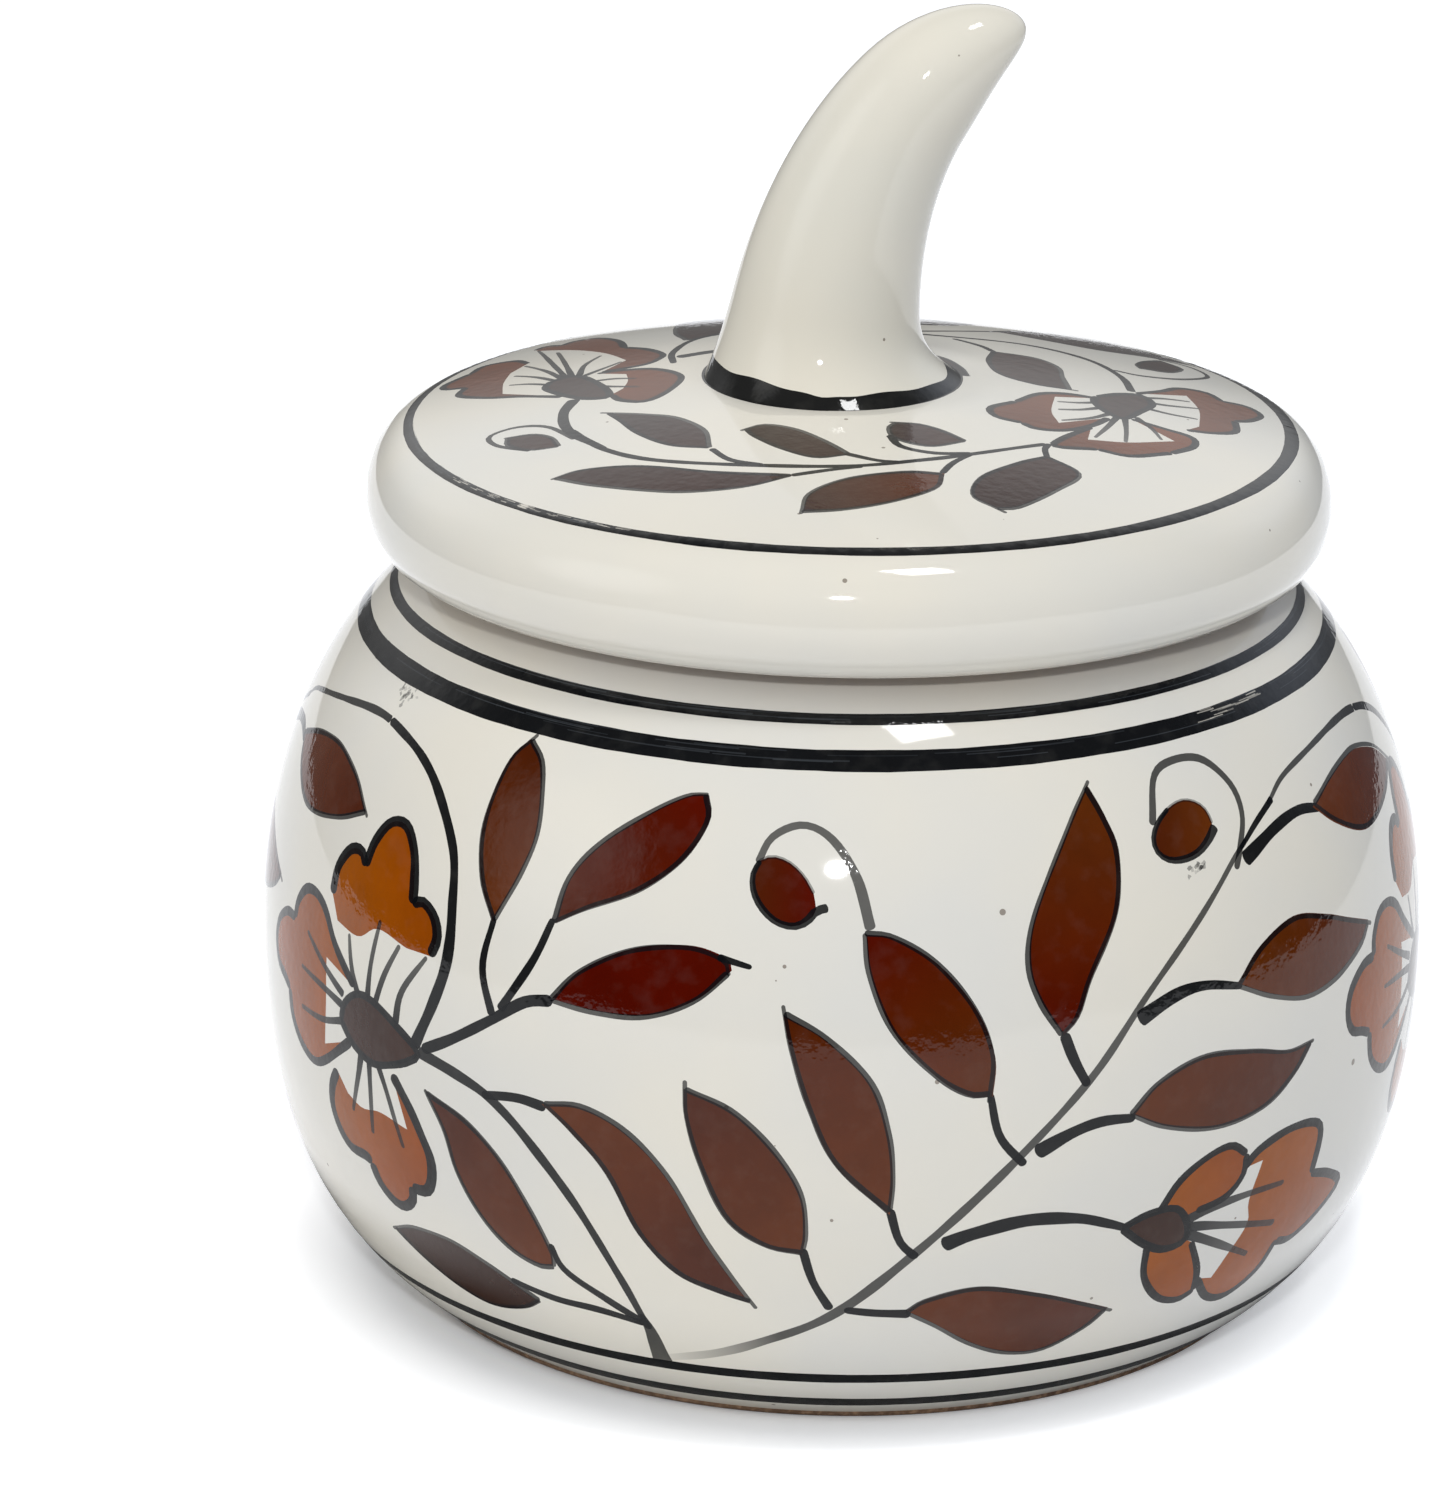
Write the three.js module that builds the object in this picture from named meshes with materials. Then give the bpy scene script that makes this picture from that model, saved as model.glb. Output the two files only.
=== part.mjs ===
// Ceramic pickle jar: a round-bellied stoneware pot, a loose lid with a fat rolled edge,
// and a horn-shaped finger grip that is luted to the lid.
// Millimetres, +Z up. The jar's axis is Z, it stands on z = 0, and the horn bends towards +X.
import * as THREE from 'three';

// Jar body
const BELLY_RADIUS = 65;
const BELLY_HEIGHT = 40;
const FOOT_RADIUS = 49.2;
const FOOT_RING_WIDTH = 8;
const FOOT_RECESS = 1.8;
const FOOT_ARRIS = 0.8;
const SHOULDER_RISE = 43.65;
const RIM_WIDTH = 4.9;
const RIM_ARRIS = 0.8;
const MOUTH_RADIUS = 40.5;
const BODY_WALL = 4.5;
const FLOOR_THICKNESS = 6.5;
const FLOOR_TURN_HEIGHT = 3;
const FLOOR_TURN_WIDTH = 15;

// Lid
const LID_RADIUS = 53.15;
const LID_UNDERCUT_HEIGHT = 5.93;
const LID_UNDERCUT_WIDTH = 3.67;
const LID_ROLL_HEIGHT = 7.45;
const LID_ROLL_WIDTH = 5.87;
const LID_DOME_RISE = 6;
const LID_WALL = 5.5;
const FLANGE_CLEARANCE = 1.7;
const FLANGE_DEPTH = 7;
const FLANGE_WIDTH = 4.5;
const FLANGE_ARRIS = 1.2;
const HOLLOW_FILLET = 5;

// Horn handle, in the vertical plane through +X
const HORN_RISE = 39.2;
const HORN_REACH = 18.2;
const HORN_SET_BACK = 3.3;
const HORN_ROOT_RADIUS = 11.4;
const HORN_END_RADIUS = 5.2;
const HORN_TIP_LENGTH = 14;
const HORN_FLARE = 2.7;
const HORN_FLARE_HEIGHT = 9;
const HORN_LAND_MARGIN = 0.25;

// How full the curves are: shares of a curve's own height or width, so they have no unit
const BELLY_FULLNESS = 0.47;
const HIP_FULLNESS = 0.74;
const HIP_TURN = 0.2;
const SHOULDER_FULLNESS = 0.42;
const NECK_FULLNESS = 0.65;
const NECK_TURN = 0.82;
const FLOOR_TURN = 0.4;
const HORN_UPRIGHT = 0.51;
const HORN_BEND = 0.94;
const HORN_OVERHANG = 0.43;
const HORN_FLARE_BIAS = 0.5;
const HORN_FLARE_POWER = 2.6;

// Facets
const TURN_STEPS = 60;
const WALL_STEPS = 9;
const HORN_SIDES = 32;
const HORN_SECTIONS = 22;

// Sizes that follow from the ones above
const RIM_HEIGHT = BELLY_HEIGHT + SHOULDER_RISE;
const RIM_RADIUS = MOUTH_RADIUS + RIM_WIDTH;
const FLANGE_RADIUS = MOUTH_RADIUS - FLANGE_CLEARANCE;
const HOLLOW_RADIUS = FLANGE_RADIUS - FLANGE_WIDTH;
const HORN_FOOT_RADIUS = HORN_ROOT_RADIUS + HORN_FLARE;
const HORN_FOOT_SHIFT = HORN_FLARE * HORN_FLARE_BIAS;
const LAND_RADIUS = HORN_FOOT_RADIUS + Math.abs(HORN_FOOT_SHIFT - HORN_SET_BACK) + HORN_LAND_MARGIN;

const glazedBody = new THREE.MeshStandardMaterial({ color: 0xddd8cc, roughness: 0.18, metalness: 0 });
const glazedLid = new THREE.MeshStandardMaterial({ color: 0xe0dbd0, roughness: 0.16, metalness: 0 });
const glazedHorn = new THREE.MeshStandardMaterial({ color: 0xe4e0d6, roughness: 0.16, metalness: 0 });

// Points of an elliptical arc in the profile plane, first and last included
function arc(centreR, centreZ, radiusR, radiusZ, startDegrees, endDegrees, steps) {
  const points = [];
  for (let step = 0; step <= steps; step += 1) {
    const degrees = startDegrees + ((endDegrees - startDegrees) * step) / steps;
    const angle = THREE.MathUtils.degToRad(degrees);
    points.push(new THREE.Vector2(centreR + radiusR * Math.cos(angle), centreZ + radiusZ * Math.sin(angle)));
  }
  return points;
}

// Moves each point of a curve square to the curve, towards the left of its travel
function offset(curve, distance, steps) {
  const points = [];
  for (let step = 0; step <= steps; step += 1) {
    const point = curve.getPoint(step / steps);
    const tangent = curve.getTangent(step / steps);
    points.push(new THREE.Vector2(point.x - tangent.y * distance, point.y + tangent.x * distance));
  }
  return points;
}

// Turns a profile of (radius, height) points round the Z axis
function turned(points) {
  const geometry = new THREE.LatheGeometry(points, TURN_STEPS);
  geometry.rotateX(Math.PI / 2);
  return geometry;
}

function lowerWallCurve() {
  const foot = new THREE.Vector2(FOOT_RADIUS, FOOT_ARRIS);
  const belly = new THREE.Vector2(BELLY_RADIUS, BELLY_HEIGHT);
  const rise = BELLY_HEIGHT - FOOT_ARRIS;
  const hipRadius = THREE.MathUtils.lerp(FOOT_RADIUS, BELLY_RADIUS, HIP_FULLNESS);
  const hip = new THREE.Vector2(hipRadius, foot.y + rise * HIP_TURN);
  const side = new THREE.Vector2(BELLY_RADIUS, BELLY_HEIGHT - rise * BELLY_FULLNESS);
  return new THREE.CubicBezierCurve(foot, hip, side, belly);
}

function upperWallCurve() {
  const belly = new THREE.Vector2(BELLY_RADIUS, BELLY_HEIGHT);
  const rim = new THREE.Vector2(RIM_RADIUS, RIM_HEIGHT - RIM_ARRIS);
  const rise = rim.y - belly.y;
  const side = new THREE.Vector2(BELLY_RADIUS, BELLY_HEIGHT + rise * SHOULDER_FULLNESS);
  const neckRadius = THREE.MathUtils.lerp(RIM_RADIUS, BELLY_RADIUS, NECK_FULLNESS);
  const neck = new THREE.Vector2(neckRadius, BELLY_HEIGHT + rise * NECK_TURN);
  return new THREE.CubicBezierCurve(belly, side, neck, rim);
}

// The pot: foot ring, belly, shoulder and rim outside, and the same wall set inwards inside
function jarBody() {
  const ringInner = FOOT_RADIUS - FOOT_ARRIS - FOOT_RING_WIDTH;
  const lower = lowerWallCurve();
  const upper = upperWallCurve();
  const outside = [
    new THREE.Vector2(0, FOOT_RECESS),
    new THREE.Vector2(ringInner - FOOT_RECESS, FOOT_RECESS),
    new THREE.Vector2(ringInner, 0),
    ...arc(FOOT_RADIUS - FOOT_ARRIS, FOOT_ARRIS, FOOT_ARRIS, FOOT_ARRIS, -90, -30, 2),
    ...lower.getPoints(WALL_STEPS).slice(0, -1),
    ...upper.getPoints(WALL_STEPS),
  ];
  const rim = [
    ...arc(RIM_RADIUS - RIM_ARRIS, RIM_HEIGHT - RIM_ARRIS, RIM_ARRIS, RIM_ARRIS, 30, 90, 2),
    ...arc(MOUTH_RADIUS + RIM_ARRIS, RIM_HEIGHT - RIM_ARRIS, RIM_ARRIS, RIM_ARRIS, 90, 180, 3),
  ];
  const innerUpper = offset(upper, BODY_WALL, WALL_STEPS).reverse();
  const innerLower = offset(lower, BODY_WALL, WALL_STEPS).reverse().slice(1);
  const wall = [...innerUpper, ...innerLower].filter((point) => point.x > MOUTH_RADIUS);
  const sides = wall.filter((point) => point.y > FLOOR_THICKNESS + FLOOR_TURN_HEIGHT);
  const corner = sides[sides.length - 1];
  const floor = new THREE.QuadraticBezierCurve(
    corner,
    new THREE.Vector2(corner.x - FLOOR_TURN_WIDTH * FLOOR_TURN, FLOOR_THICKNESS),
    new THREE.Vector2(corner.x - FLOOR_TURN_WIDTH, FLOOR_THICKNESS),
  );
  const inside = [...sides, ...floor.getPoints(4).slice(1), new THREE.Vector2(0, FLOOR_THICKNESS)];
  const mesh = new THREE.Mesh(turned([...outside, ...rim, ...inside]), glazedBody);
  mesh.name = 'jar_body';
  return mesh;
}

// The lid's top surface: where the rolled edge ends and how the dome rises from there
function lidDome() {
  const rollCentre = LID_RADIUS - LID_ROLL_WIDTH;
  const slope = (2 * LID_DOME_RISE) / rollCentre;
  const rollEnd = Math.atan2(LID_ROLL_HEIGHT, LID_ROLL_WIDTH * slope);
  const radius = rollCentre + LID_ROLL_WIDTH * Math.cos(rollEnd);
  const height = LID_UNDERCUT_HEIGHT + LID_ROLL_HEIGHT * Math.sin(rollEnd);
  const heightAt = (r) => height + (slope / (2 * radius)) * (radius * radius - r * r);
  return { rollCentre, rollEndDegrees: THREE.MathUtils.radToDeg(rollEnd), radius, heightAt };
}

// The lid, with its seat on z = 0: flange and hollow below, rolled edge and dome above
function lid(dome) {
  const crown = (r) => new THREE.Vector2(r, dome.heightAt(r) - LID_WALL);
  const hollowTop = dome.heightAt(HOLLOW_RADIUS) - LID_WALL;
  const under = [
    crown(0),
    crown(HOLLOW_RADIUS * 0.45),
    crown(HOLLOW_RADIUS - HOLLOW_FILLET),
    ...arc(HOLLOW_RADIUS - HOLLOW_FILLET, hollowTop - HOLLOW_FILLET, HOLLOW_FILLET, HOLLOW_FILLET, 60, 0, 3),
    ...arc(HOLLOW_RADIUS + FLANGE_ARRIS, FLANGE_ARRIS - FLANGE_DEPTH, FLANGE_ARRIS, FLANGE_ARRIS, 180, 270, 3),
    ...arc(FLANGE_RADIUS - FLANGE_ARRIS, FLANGE_ARRIS - FLANGE_DEPTH, FLANGE_ARRIS, FLANGE_ARRIS, -90, 0, 3),
    new THREE.Vector2(FLANGE_RADIUS, 0),
  ];
  const undercutCentre = LID_RADIUS - LID_UNDERCUT_WIDTH;
  const edge = [
    ...arc(undercutCentre, LID_UNDERCUT_HEIGHT, LID_UNDERCUT_WIDTH, LID_UNDERCUT_HEIGHT, -90, 0, 7),
    ...arc(dome.rollCentre, LID_UNDERCUT_HEIGHT, LID_ROLL_WIDTH, LID_ROLL_HEIGHT, 0, dome.rollEndDegrees, 8).slice(1),
  ];
  const top = [];
  for (let step = 1; step <= 6; step += 1) {
    const r = THREE.MathUtils.lerp(dome.radius, LAND_RADIUS, step / 6);
    top.push(new THREE.Vector2(r, dome.heightAt(r)));
  }
  top.push(new THREE.Vector2(0, dome.heightAt(LAND_RADIUS)));
  const mesh = new THREE.Mesh(turned([...under, ...edge, ...top]), glazedLid);
  mesh.name = 'lid';
  return mesh;
}

// Radius of the horn at a height along its centre line: a taper, a flared foot and a rounded tip
function hornRadius(along, length) {
  const taper = THREE.MathUtils.lerp(HORN_ROOT_RADIUS, HORN_END_RADIUS, along / length);
  const tipStart = length - HORN_TIP_LENGTH;
  const tip = Math.max(0, (along - tipStart) / HORN_TIP_LENGTH);
  return taper * Math.sqrt(Math.max(0, 1 - tip * tip)) + HORN_FLARE * flareShare(along);
}

function flareShare(along) {
  return Math.max(0, 1 - along / HORN_FLARE_HEIGHT) ** HORN_FLARE_POWER;
}

// Distances of the horn's sections along its centre line, closer at the foot and at the tip
function hornStations(length) {
  const stations = [];
  for (let section = 0; section < HORN_SECTIONS; section += 1) {
    const share = section / HORN_SECTIONS;
    const eased = share - (0.85 * Math.sin(2 * Math.PI * share)) / (2 * Math.PI);
    stations.push(eased * length);
  }
  return stations;
}

// The horn: round sections lofted along a bent centre line, with a flat foot on z = 0
function hornHandle() {
  const centreLine = new THREE.CubicBezierCurve(
    new THREE.Vector2(-HORN_SET_BACK, 0),
    new THREE.Vector2(-HORN_SET_BACK, HORN_RISE * HORN_UPRIGHT),
    new THREE.Vector2((HORN_REACH + HORN_SET_BACK) * HORN_OVERHANG - HORN_SET_BACK, HORN_RISE * HORN_BEND),
    new THREE.Vector2(HORN_REACH, HORN_RISE),
  );
  const length = centreLine.getLength();
  const stations = hornStations(length);
  const positions = [];
  for (const along of stations) {
    const centre = centreLine.getPointAt(along / length);
    const tangent = along > 0 ? centreLine.getTangentAt(along / length) : new THREE.Vector2(0, 1);
    const radius = hornRadius(along, length);
    const shift = HORN_FOOT_SHIFT * flareShare(along);
    for (let side = 0; side < HORN_SIDES; side += 1) {
      const angle = (2 * Math.PI * side) / HORN_SIDES;
      const across = radius * Math.cos(angle);
      positions.push(centre.x + shift + across * tangent.y, radius * Math.sin(angle), centre.y - across * tangent.x);
    }
  }
  const footCentre = positions.length / 3;
  positions.push(HORN_FOOT_SHIFT - HORN_SET_BACK, 0, 0);
  const tipPoint = footCentre + 1;
  positions.push(HORN_REACH, 0, HORN_RISE);
  const triangles = [];
  for (let section = 0; section < stations.length - 1; section += 1) {
    for (let side = 0; side < HORN_SIDES; side += 1) {
      const next = (side + 1) % HORN_SIDES;
      const low = section * HORN_SIDES;
      const high = low + HORN_SIDES;
      triangles.push(low + side, low + next, high + next, low + side, high + next, high + side);
    }
  }
  const last = (stations.length - 1) * HORN_SIDES;
  for (let side = 0; side < HORN_SIDES; side += 1) {
    const next = (side + 1) % HORN_SIDES;
    triangles.push(footCentre, next, side, last + side, last + next, tipPoint);
  }
  const geometry = new THREE.BufferGeometry();
  geometry.setAttribute('position', new THREE.Float32BufferAttribute(positions, 3));
  geometry.setIndex(triangles);
  const mesh = new THREE.Mesh(geometry, glazedHorn);
  mesh.name = 'horn_handle';
  return mesh;
}

// The lid's seat rests on the jar's rim, and the horn's foot on the flat land at the top of the lid
const dome = lidDome();
const handle = hornHandle();
handle.position.z = dome.heightAt(LAND_RADIUS);

const lidGroup = new THREE.Group();
lidGroup.position.z = RIM_HEIGHT;
lidGroup.add(lid(dome), handle);

const jar = new THREE.Group();
jar.add(jarBody(), lidGroup);

export default jar;
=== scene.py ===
import math
import random

import bpy
import numpy as np
from mathutils import Matrix, Vector
from mathutils.geometry import delaunay_2d_cdt


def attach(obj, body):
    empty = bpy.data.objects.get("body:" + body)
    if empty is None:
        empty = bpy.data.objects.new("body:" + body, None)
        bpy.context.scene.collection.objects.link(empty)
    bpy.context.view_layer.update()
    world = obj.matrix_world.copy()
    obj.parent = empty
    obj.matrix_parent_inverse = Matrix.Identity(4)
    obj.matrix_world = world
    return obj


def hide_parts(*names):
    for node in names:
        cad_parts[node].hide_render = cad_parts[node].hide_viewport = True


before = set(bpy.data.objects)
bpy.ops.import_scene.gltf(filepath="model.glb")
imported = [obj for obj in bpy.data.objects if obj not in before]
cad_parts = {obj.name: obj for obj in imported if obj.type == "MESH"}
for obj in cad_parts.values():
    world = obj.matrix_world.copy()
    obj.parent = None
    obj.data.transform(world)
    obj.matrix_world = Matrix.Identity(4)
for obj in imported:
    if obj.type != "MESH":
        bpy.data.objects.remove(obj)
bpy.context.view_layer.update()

MM = 0.001

# Driving sizes of the turned forms in millimetres, the same as the part's
BELLY_RADIUS = 65
BELLY_HEIGHT = 40
FOOT_RADIUS = 49.2
FOOT_RING_WIDTH = 8
FOOT_RECESS = 1.8
FOOT_ARRIS = 0.8
SHOULDER_RISE = 43.65
RIM_WIDTH = 4.9
RIM_ARRIS = 0.8
MOUTH_RADIUS = 40.5
BODY_WALL = 4.5
FLOOR_THICKNESS = 6.5
FLOOR_TURN_HEIGHT = 3
FLOOR_TURN_WIDTH = 15
LID_RADIUS = 53.15
LID_UNDERCUT_HEIGHT = 5.93
LID_UNDERCUT_WIDTH = 3.67
LID_ROLL_HEIGHT = 7.45
LID_ROLL_WIDTH = 5.87
LID_DOME_RISE = 6
LID_WALL = 5.5
FLANGE_CLEARANCE = 1.7
FLANGE_DEPTH = 7
FLANGE_WIDTH = 4.5
FLANGE_ARRIS = 1.2
HOLLOW_FILLET = 5
HORN_RISE = 39.2
HORN_REACH = 18.2
HORN_SET_BACK = 3.3
HORN_ROOT_RADIUS = 11.4
HORN_END_RADIUS = 5.2
HORN_TIP_LENGTH = 14
HORN_FLARE = 2.7
HORN_FLARE_HEIGHT = 9
HORN_LAND_MARGIN = 0.25

# Shares that shape the curves, the same as the part's
BELLY_FULLNESS = 0.47
HIP_FULLNESS = 0.74
HIP_TURN = 0.2
SHOULDER_FULLNESS = 0.42
NECK_FULLNESS = 0.65
NECK_TURN = 0.82
FLOOR_TURN = 0.4
HORN_UPRIGHT = 0.51
HORN_BEND = 0.94
HORN_OVERHANG = 0.43
HORN_FLARE_BIAS = 0.5
HORN_FLARE_POWER = 2.6

# How far the horn's fine tip stays below the solid's coarser one, in millimetres
HORN_INSET = 0.06

# Sizes that follow from the ones above
RIM_HEIGHT = BELLY_HEIGHT + SHOULDER_RISE
RIM_RADIUS = MOUTH_RADIUS + RIM_WIDTH
FLANGE_RADIUS = MOUTH_RADIUS - FLANGE_CLEARANCE
HOLLOW_RADIUS = FLANGE_RADIUS - FLANGE_WIDTH
HORN_FOOT_RADIUS = HORN_ROOT_RADIUS + HORN_FLARE
HORN_FOOT_SHIFT = HORN_FLARE * HORN_FLARE_BIAS
HORN_FOOT_X = HORN_FOOT_SHIFT - HORN_SET_BACK
LAND_RADIUS = HORN_FOOT_RADIUS + abs(HORN_FOOT_X) + HORN_LAND_MARGIN

# Mesh fineness: steps round a form, along it and on its arrises, and spacings on the sheets in millimetres
TURN_STEPS = 180
WALL_STEPS = 60
INNER_WALL_STEPS = 24
FLOOR_TURN_STEPS = 10
ARRIS_STEPS = 6
DOME_POINTS = 40
ROLL_STEPS = 24
UNDERCUT_STEPS = 20
FLAT_POINTS = 8
HORN_TURN_STEPS = 120
HORN_LINE_STEPS = 400
HORN_BAND_ROWS = 5
HORN_SHAFT_ROWS = 45
HORN_TIP_ROWS = 21
SHEET_STEP = 2.4
BRUSH_STEP = 0.8
SPAN_STEPS = 12

# Radius at which the wall is unrolled, the smallest step of an outline, and guards against rounding
SHEET_RADIUS = 60
TINY = 0.003
CUT_TOLERANCE = 1e-4
NEAR_ZERO = 1e-9

# The pieces' material slots, and the parts of the bake map that the painted sheets take
GLAZE_SLOT = 0
CLAY_SLOT = 1
MAP_SIDES = (0.01, 0.99)
WALL_MAP = (0.01, 0.6)
LID_MAP_CENTRE = 0.33
LID_MAP_REACH = 0.32


def linear(red, green, blue):
    """A colour given in sRGB from 0 to 255, as linear light."""
    shares = [channel / 255 for channel in (red, green, blue)]
    return tuple(s / 12.92 if s <= 0.04045 else ((s + 0.055) / 1.055) ** 2.4 for s in shares)


# Paints of the brushwork
INK = linear(12, 14, 17)
INK_GREY = linear(62, 66, 70)
LEAF_RED = linear(80, 11, 1)
LEAF_BROWN = linear(92, 42, 8)
LEAF_DARK = linear(72, 26, 5)
PETAL_ORANGE = linear(150, 78, 2)
PETAL_RUST = linear(140, 66, 4)
LID_LEAF = linear(52, 22, 9)
LID_LEAF_DARK = linear(42, 18, 9)
LID_PETAL = linear(112, 54, 8)
LID_PETAL_DARK = linear(96, 46, 12)
POD_BROWN = linear(50, 26, 16)
OCHRE = linear(178, 148, 108)
# Glaze showing through dry brushwork, and the pale paint of the painted highlight streaks on the pot's wide
# band
BARE_AND_SHEEN = linear(214, 209, 197)
NO_PAINT = (0, 0, 0, 0)

# The painter's hand: seeds, heavy ink, the share of its width that a stem keeps, the two edges of a leaf as
# start width, end width, ink and end ink, a stroke's round end, and its waver in radians per millimetre
JAR_SEED = 7
LID_SEED = 11
HEAVY_INK = 0.985
STEM_SHARE = 0.88
LEAF_UPPER = (0.68, 0.45, 0.92, 0.86)
LEAF_LOWER = (0.52, 0.68, 0.86, 0.92)
ROUND_END = np.array([0.0, 0.13, 0.5])
SLOW_WAVE = 0.37
QUICK_WAVE = 1.1
QUICK_SHARE = 0.6

# The vine's lengths: turn in degrees, the share that is kept past the flower's stem, and drop in millimetres
VINE_LENGTHS = ((-135, 1, 0.9), (0, 1, 0), (129.3, 0.72, 0.7))
FLOWER_STEM = -40
WALL_OVERLAP = 0.1

# The pot's bands: start in degrees, height and width in millimetres, and painted highlight marks on a
# stretch of points
JAR_BANDS = ((-69, 79.3, 1.35, 0), (-69, 75.9, 2.45, 14), (120, 8.2, 1.85, 0), (100, 3.5, 2.6, 0))
BAND_STEP = 2
BAND_TURN = 366
BAND_INK = 0.995
BAND_TAPER = 0.94
# The stretch of the wide band where pale streaks paint a highlight
HIGHLIGHT_STRETCH = slice(57, 66)
BRISTLE_MARKS = 60
BRISTLE_LENGTH = 20

# The lid's ring. Each pull of the brush has its first point, its end and two widths, and each dry stretch
# its first point, its end, a number of marks, their paint and the length of the longest
CIRCLE_POINTS = 120
LID_RING_RADIUS = 48.5
LID_RING_START = -111
LID_RING_PULLS = ((0, 50, 1.5, 1.7), (48, 84, 1.6, 1.0), (82, CIRCLE_POINTS, 1.0, 1.4))
LID_RING_DRY = ((94, 116, 110, INK_GREY, 3), (104, 116, 40, BARE_AND_SHEEN, 2), (109, 111, 25, BARE_AND_SHEEN, 2))
LID_RING_DRY_WIDTH = 1.3
SEAT_LINE_INSET = 0.5
SEAT_LINE_WIDTH = 0.7


# Curves

def lerp(start, end, share):
    return start + (end - start) * share


def bezier(points, steps):
    """A Bezier curve of degree two or three as an array of points, both ends included."""
    share = np.linspace(0, 1, steps + 1)[:, None]
    level = [np.array(point, float) * np.ones_like(share) for point in points]
    while len(level) > 1:
        level = [lerp(first, second, share) for first, second in zip(level, level[1:])]
    return level[0]


def arc(centre_r, centre_z, radius_r, radius_z, start, end, steps):
    """Points of an elliptical arc in the profile plane, from start to end in degrees."""
    angles = np.radians(np.linspace(start, end, steps + 1))
    return np.column_stack((centre_r + radius_r * np.cos(angles), centre_z + radius_z * np.sin(angles)))


def arris(centre_r, centre_z, size, start, end):
    """The small round edge between two faces."""
    return arc(centre_r, centre_z, size, size, start, end, ARRIS_STEPS)


def tangents(points):
    steps = np.gradient(np.asarray(points, float), axis=0)
    return steps / np.maximum(np.linalg.norm(steps, axis=1, keepdims=True), NEAR_ZERO)


def lengths(points):
    steps = np.linalg.norm(np.diff(np.asarray(points, float), axis=0), axis=1)
    return np.concatenate(([0.0], np.cumsum(steps)))


def resample(points, distances):
    along = lengths(points)
    points = np.asarray(points, float)
    return np.column_stack([np.interp(distances, along, points[:, axis]) for axis in range(points.shape[1])])


def smooth(points, step=BRUSH_STEP):
    """A curve through the points, with a point about every step."""
    points = np.asarray(points, float)
    if len(points) > 2:
        ends = np.vstack((2 * points[0] - points[1], points, 2 * points[-1] - points[-2]))
        share = np.linspace(0, 1, SPAN_STEPS + 1)[:-1, None]
        spans = []
        for a, b, c, d in zip(ends, ends[1:], ends[2:], ends[3:]):
            cubic = (3 * b - a - 3 * c + d) * share ** 3 + (2 * a - 5 * b + 4 * c - d) * share ** 2
            spans.append(b + 0.5 * (cubic + (c - a) * share))
        points = np.vstack(spans + [points[-1:]])
    total = lengths(points)[-1]
    return resample(points, np.linspace(0, total, max(2, round(total / step)) + 1))


# Turned profiles, as (radius, height) points

def wall_curves(steps):
    """The pot's outer wall below and above the belly."""
    rise = BELLY_HEIGHT - FOOT_ARRIS
    hip = (lerp(FOOT_RADIUS, BELLY_RADIUS, HIP_FULLNESS), FOOT_ARRIS + rise * HIP_TURN)
    side = (BELLY_RADIUS, BELLY_HEIGHT - rise * BELLY_FULLNESS)
    belly = (BELLY_RADIUS, BELLY_HEIGHT)
    lower = bezier([(FOOT_RADIUS, FOOT_ARRIS), hip, side, belly], steps)
    rim = (RIM_RADIUS, RIM_HEIGHT - RIM_ARRIS)
    rise = rim[1] - BELLY_HEIGHT
    side = (BELLY_RADIUS, BELLY_HEIGHT + rise * SHOULDER_FULLNESS)
    neck = (lerp(RIM_RADIUS, BELLY_RADIUS, NECK_FULLNESS), BELLY_HEIGHT + rise * NECK_TURN)
    upper = bezier([belly, side, neck, rim], steps)
    return lower, upper


def inner_wall():
    """The inside from the mouth down to the middle of the floor."""
    walls = np.vstack([curve[1:] for curve in wall_curves(INNER_WALL_STEPS)])
    along = tangents(walls)
    inset = walls + BODY_WALL * np.column_stack((-along[:, 1], along[:, 0]))
    rim_foot = (MOUTH_RADIUS, RIM_HEIGHT - RIM_ARRIS)
    sides = [point for point in inset[::-1] if point[0] > MOUTH_RADIUS]
    sides = [point for point in sides if point[1] > FLOOR_THICKNESS + FLOOR_TURN_HEIGHT]
    corner = sides[-1]
    turn = (corner[0] - FLOOR_TURN_WIDTH * FLOOR_TURN, FLOOR_THICKNESS)
    flat = (corner[0] - FLOOR_TURN_WIDTH, FLOOR_THICKNESS)
    curve = bezier([corner, turn, flat], FLOOR_TURN_STEPS)
    return np.vstack([[rim_foot], sides, curve[1:], [(0, FLOOR_THICKNESS)]])


def lid_dome():
    """Where the lid's rolled edge ends, and the height of the dome above the seat at any radius."""
    roll_centre = LID_RADIUS - LID_ROLL_WIDTH
    slope = 2 * LID_DOME_RISE / roll_centre
    roll_end = math.atan2(LID_ROLL_HEIGHT, LID_ROLL_WIDTH * slope)
    radius = roll_centre + LID_ROLL_WIDTH * math.cos(roll_end)
    height = LID_UNDERCUT_HEIGHT + LID_ROLL_HEIGHT * math.sin(roll_end)

    def height_at(r):
        return RIM_HEIGHT + height + slope / (2 * radius) * (radius ** 2 - r ** 2)

    return roll_centre, math.degrees(roll_end), radius, height_at


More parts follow.
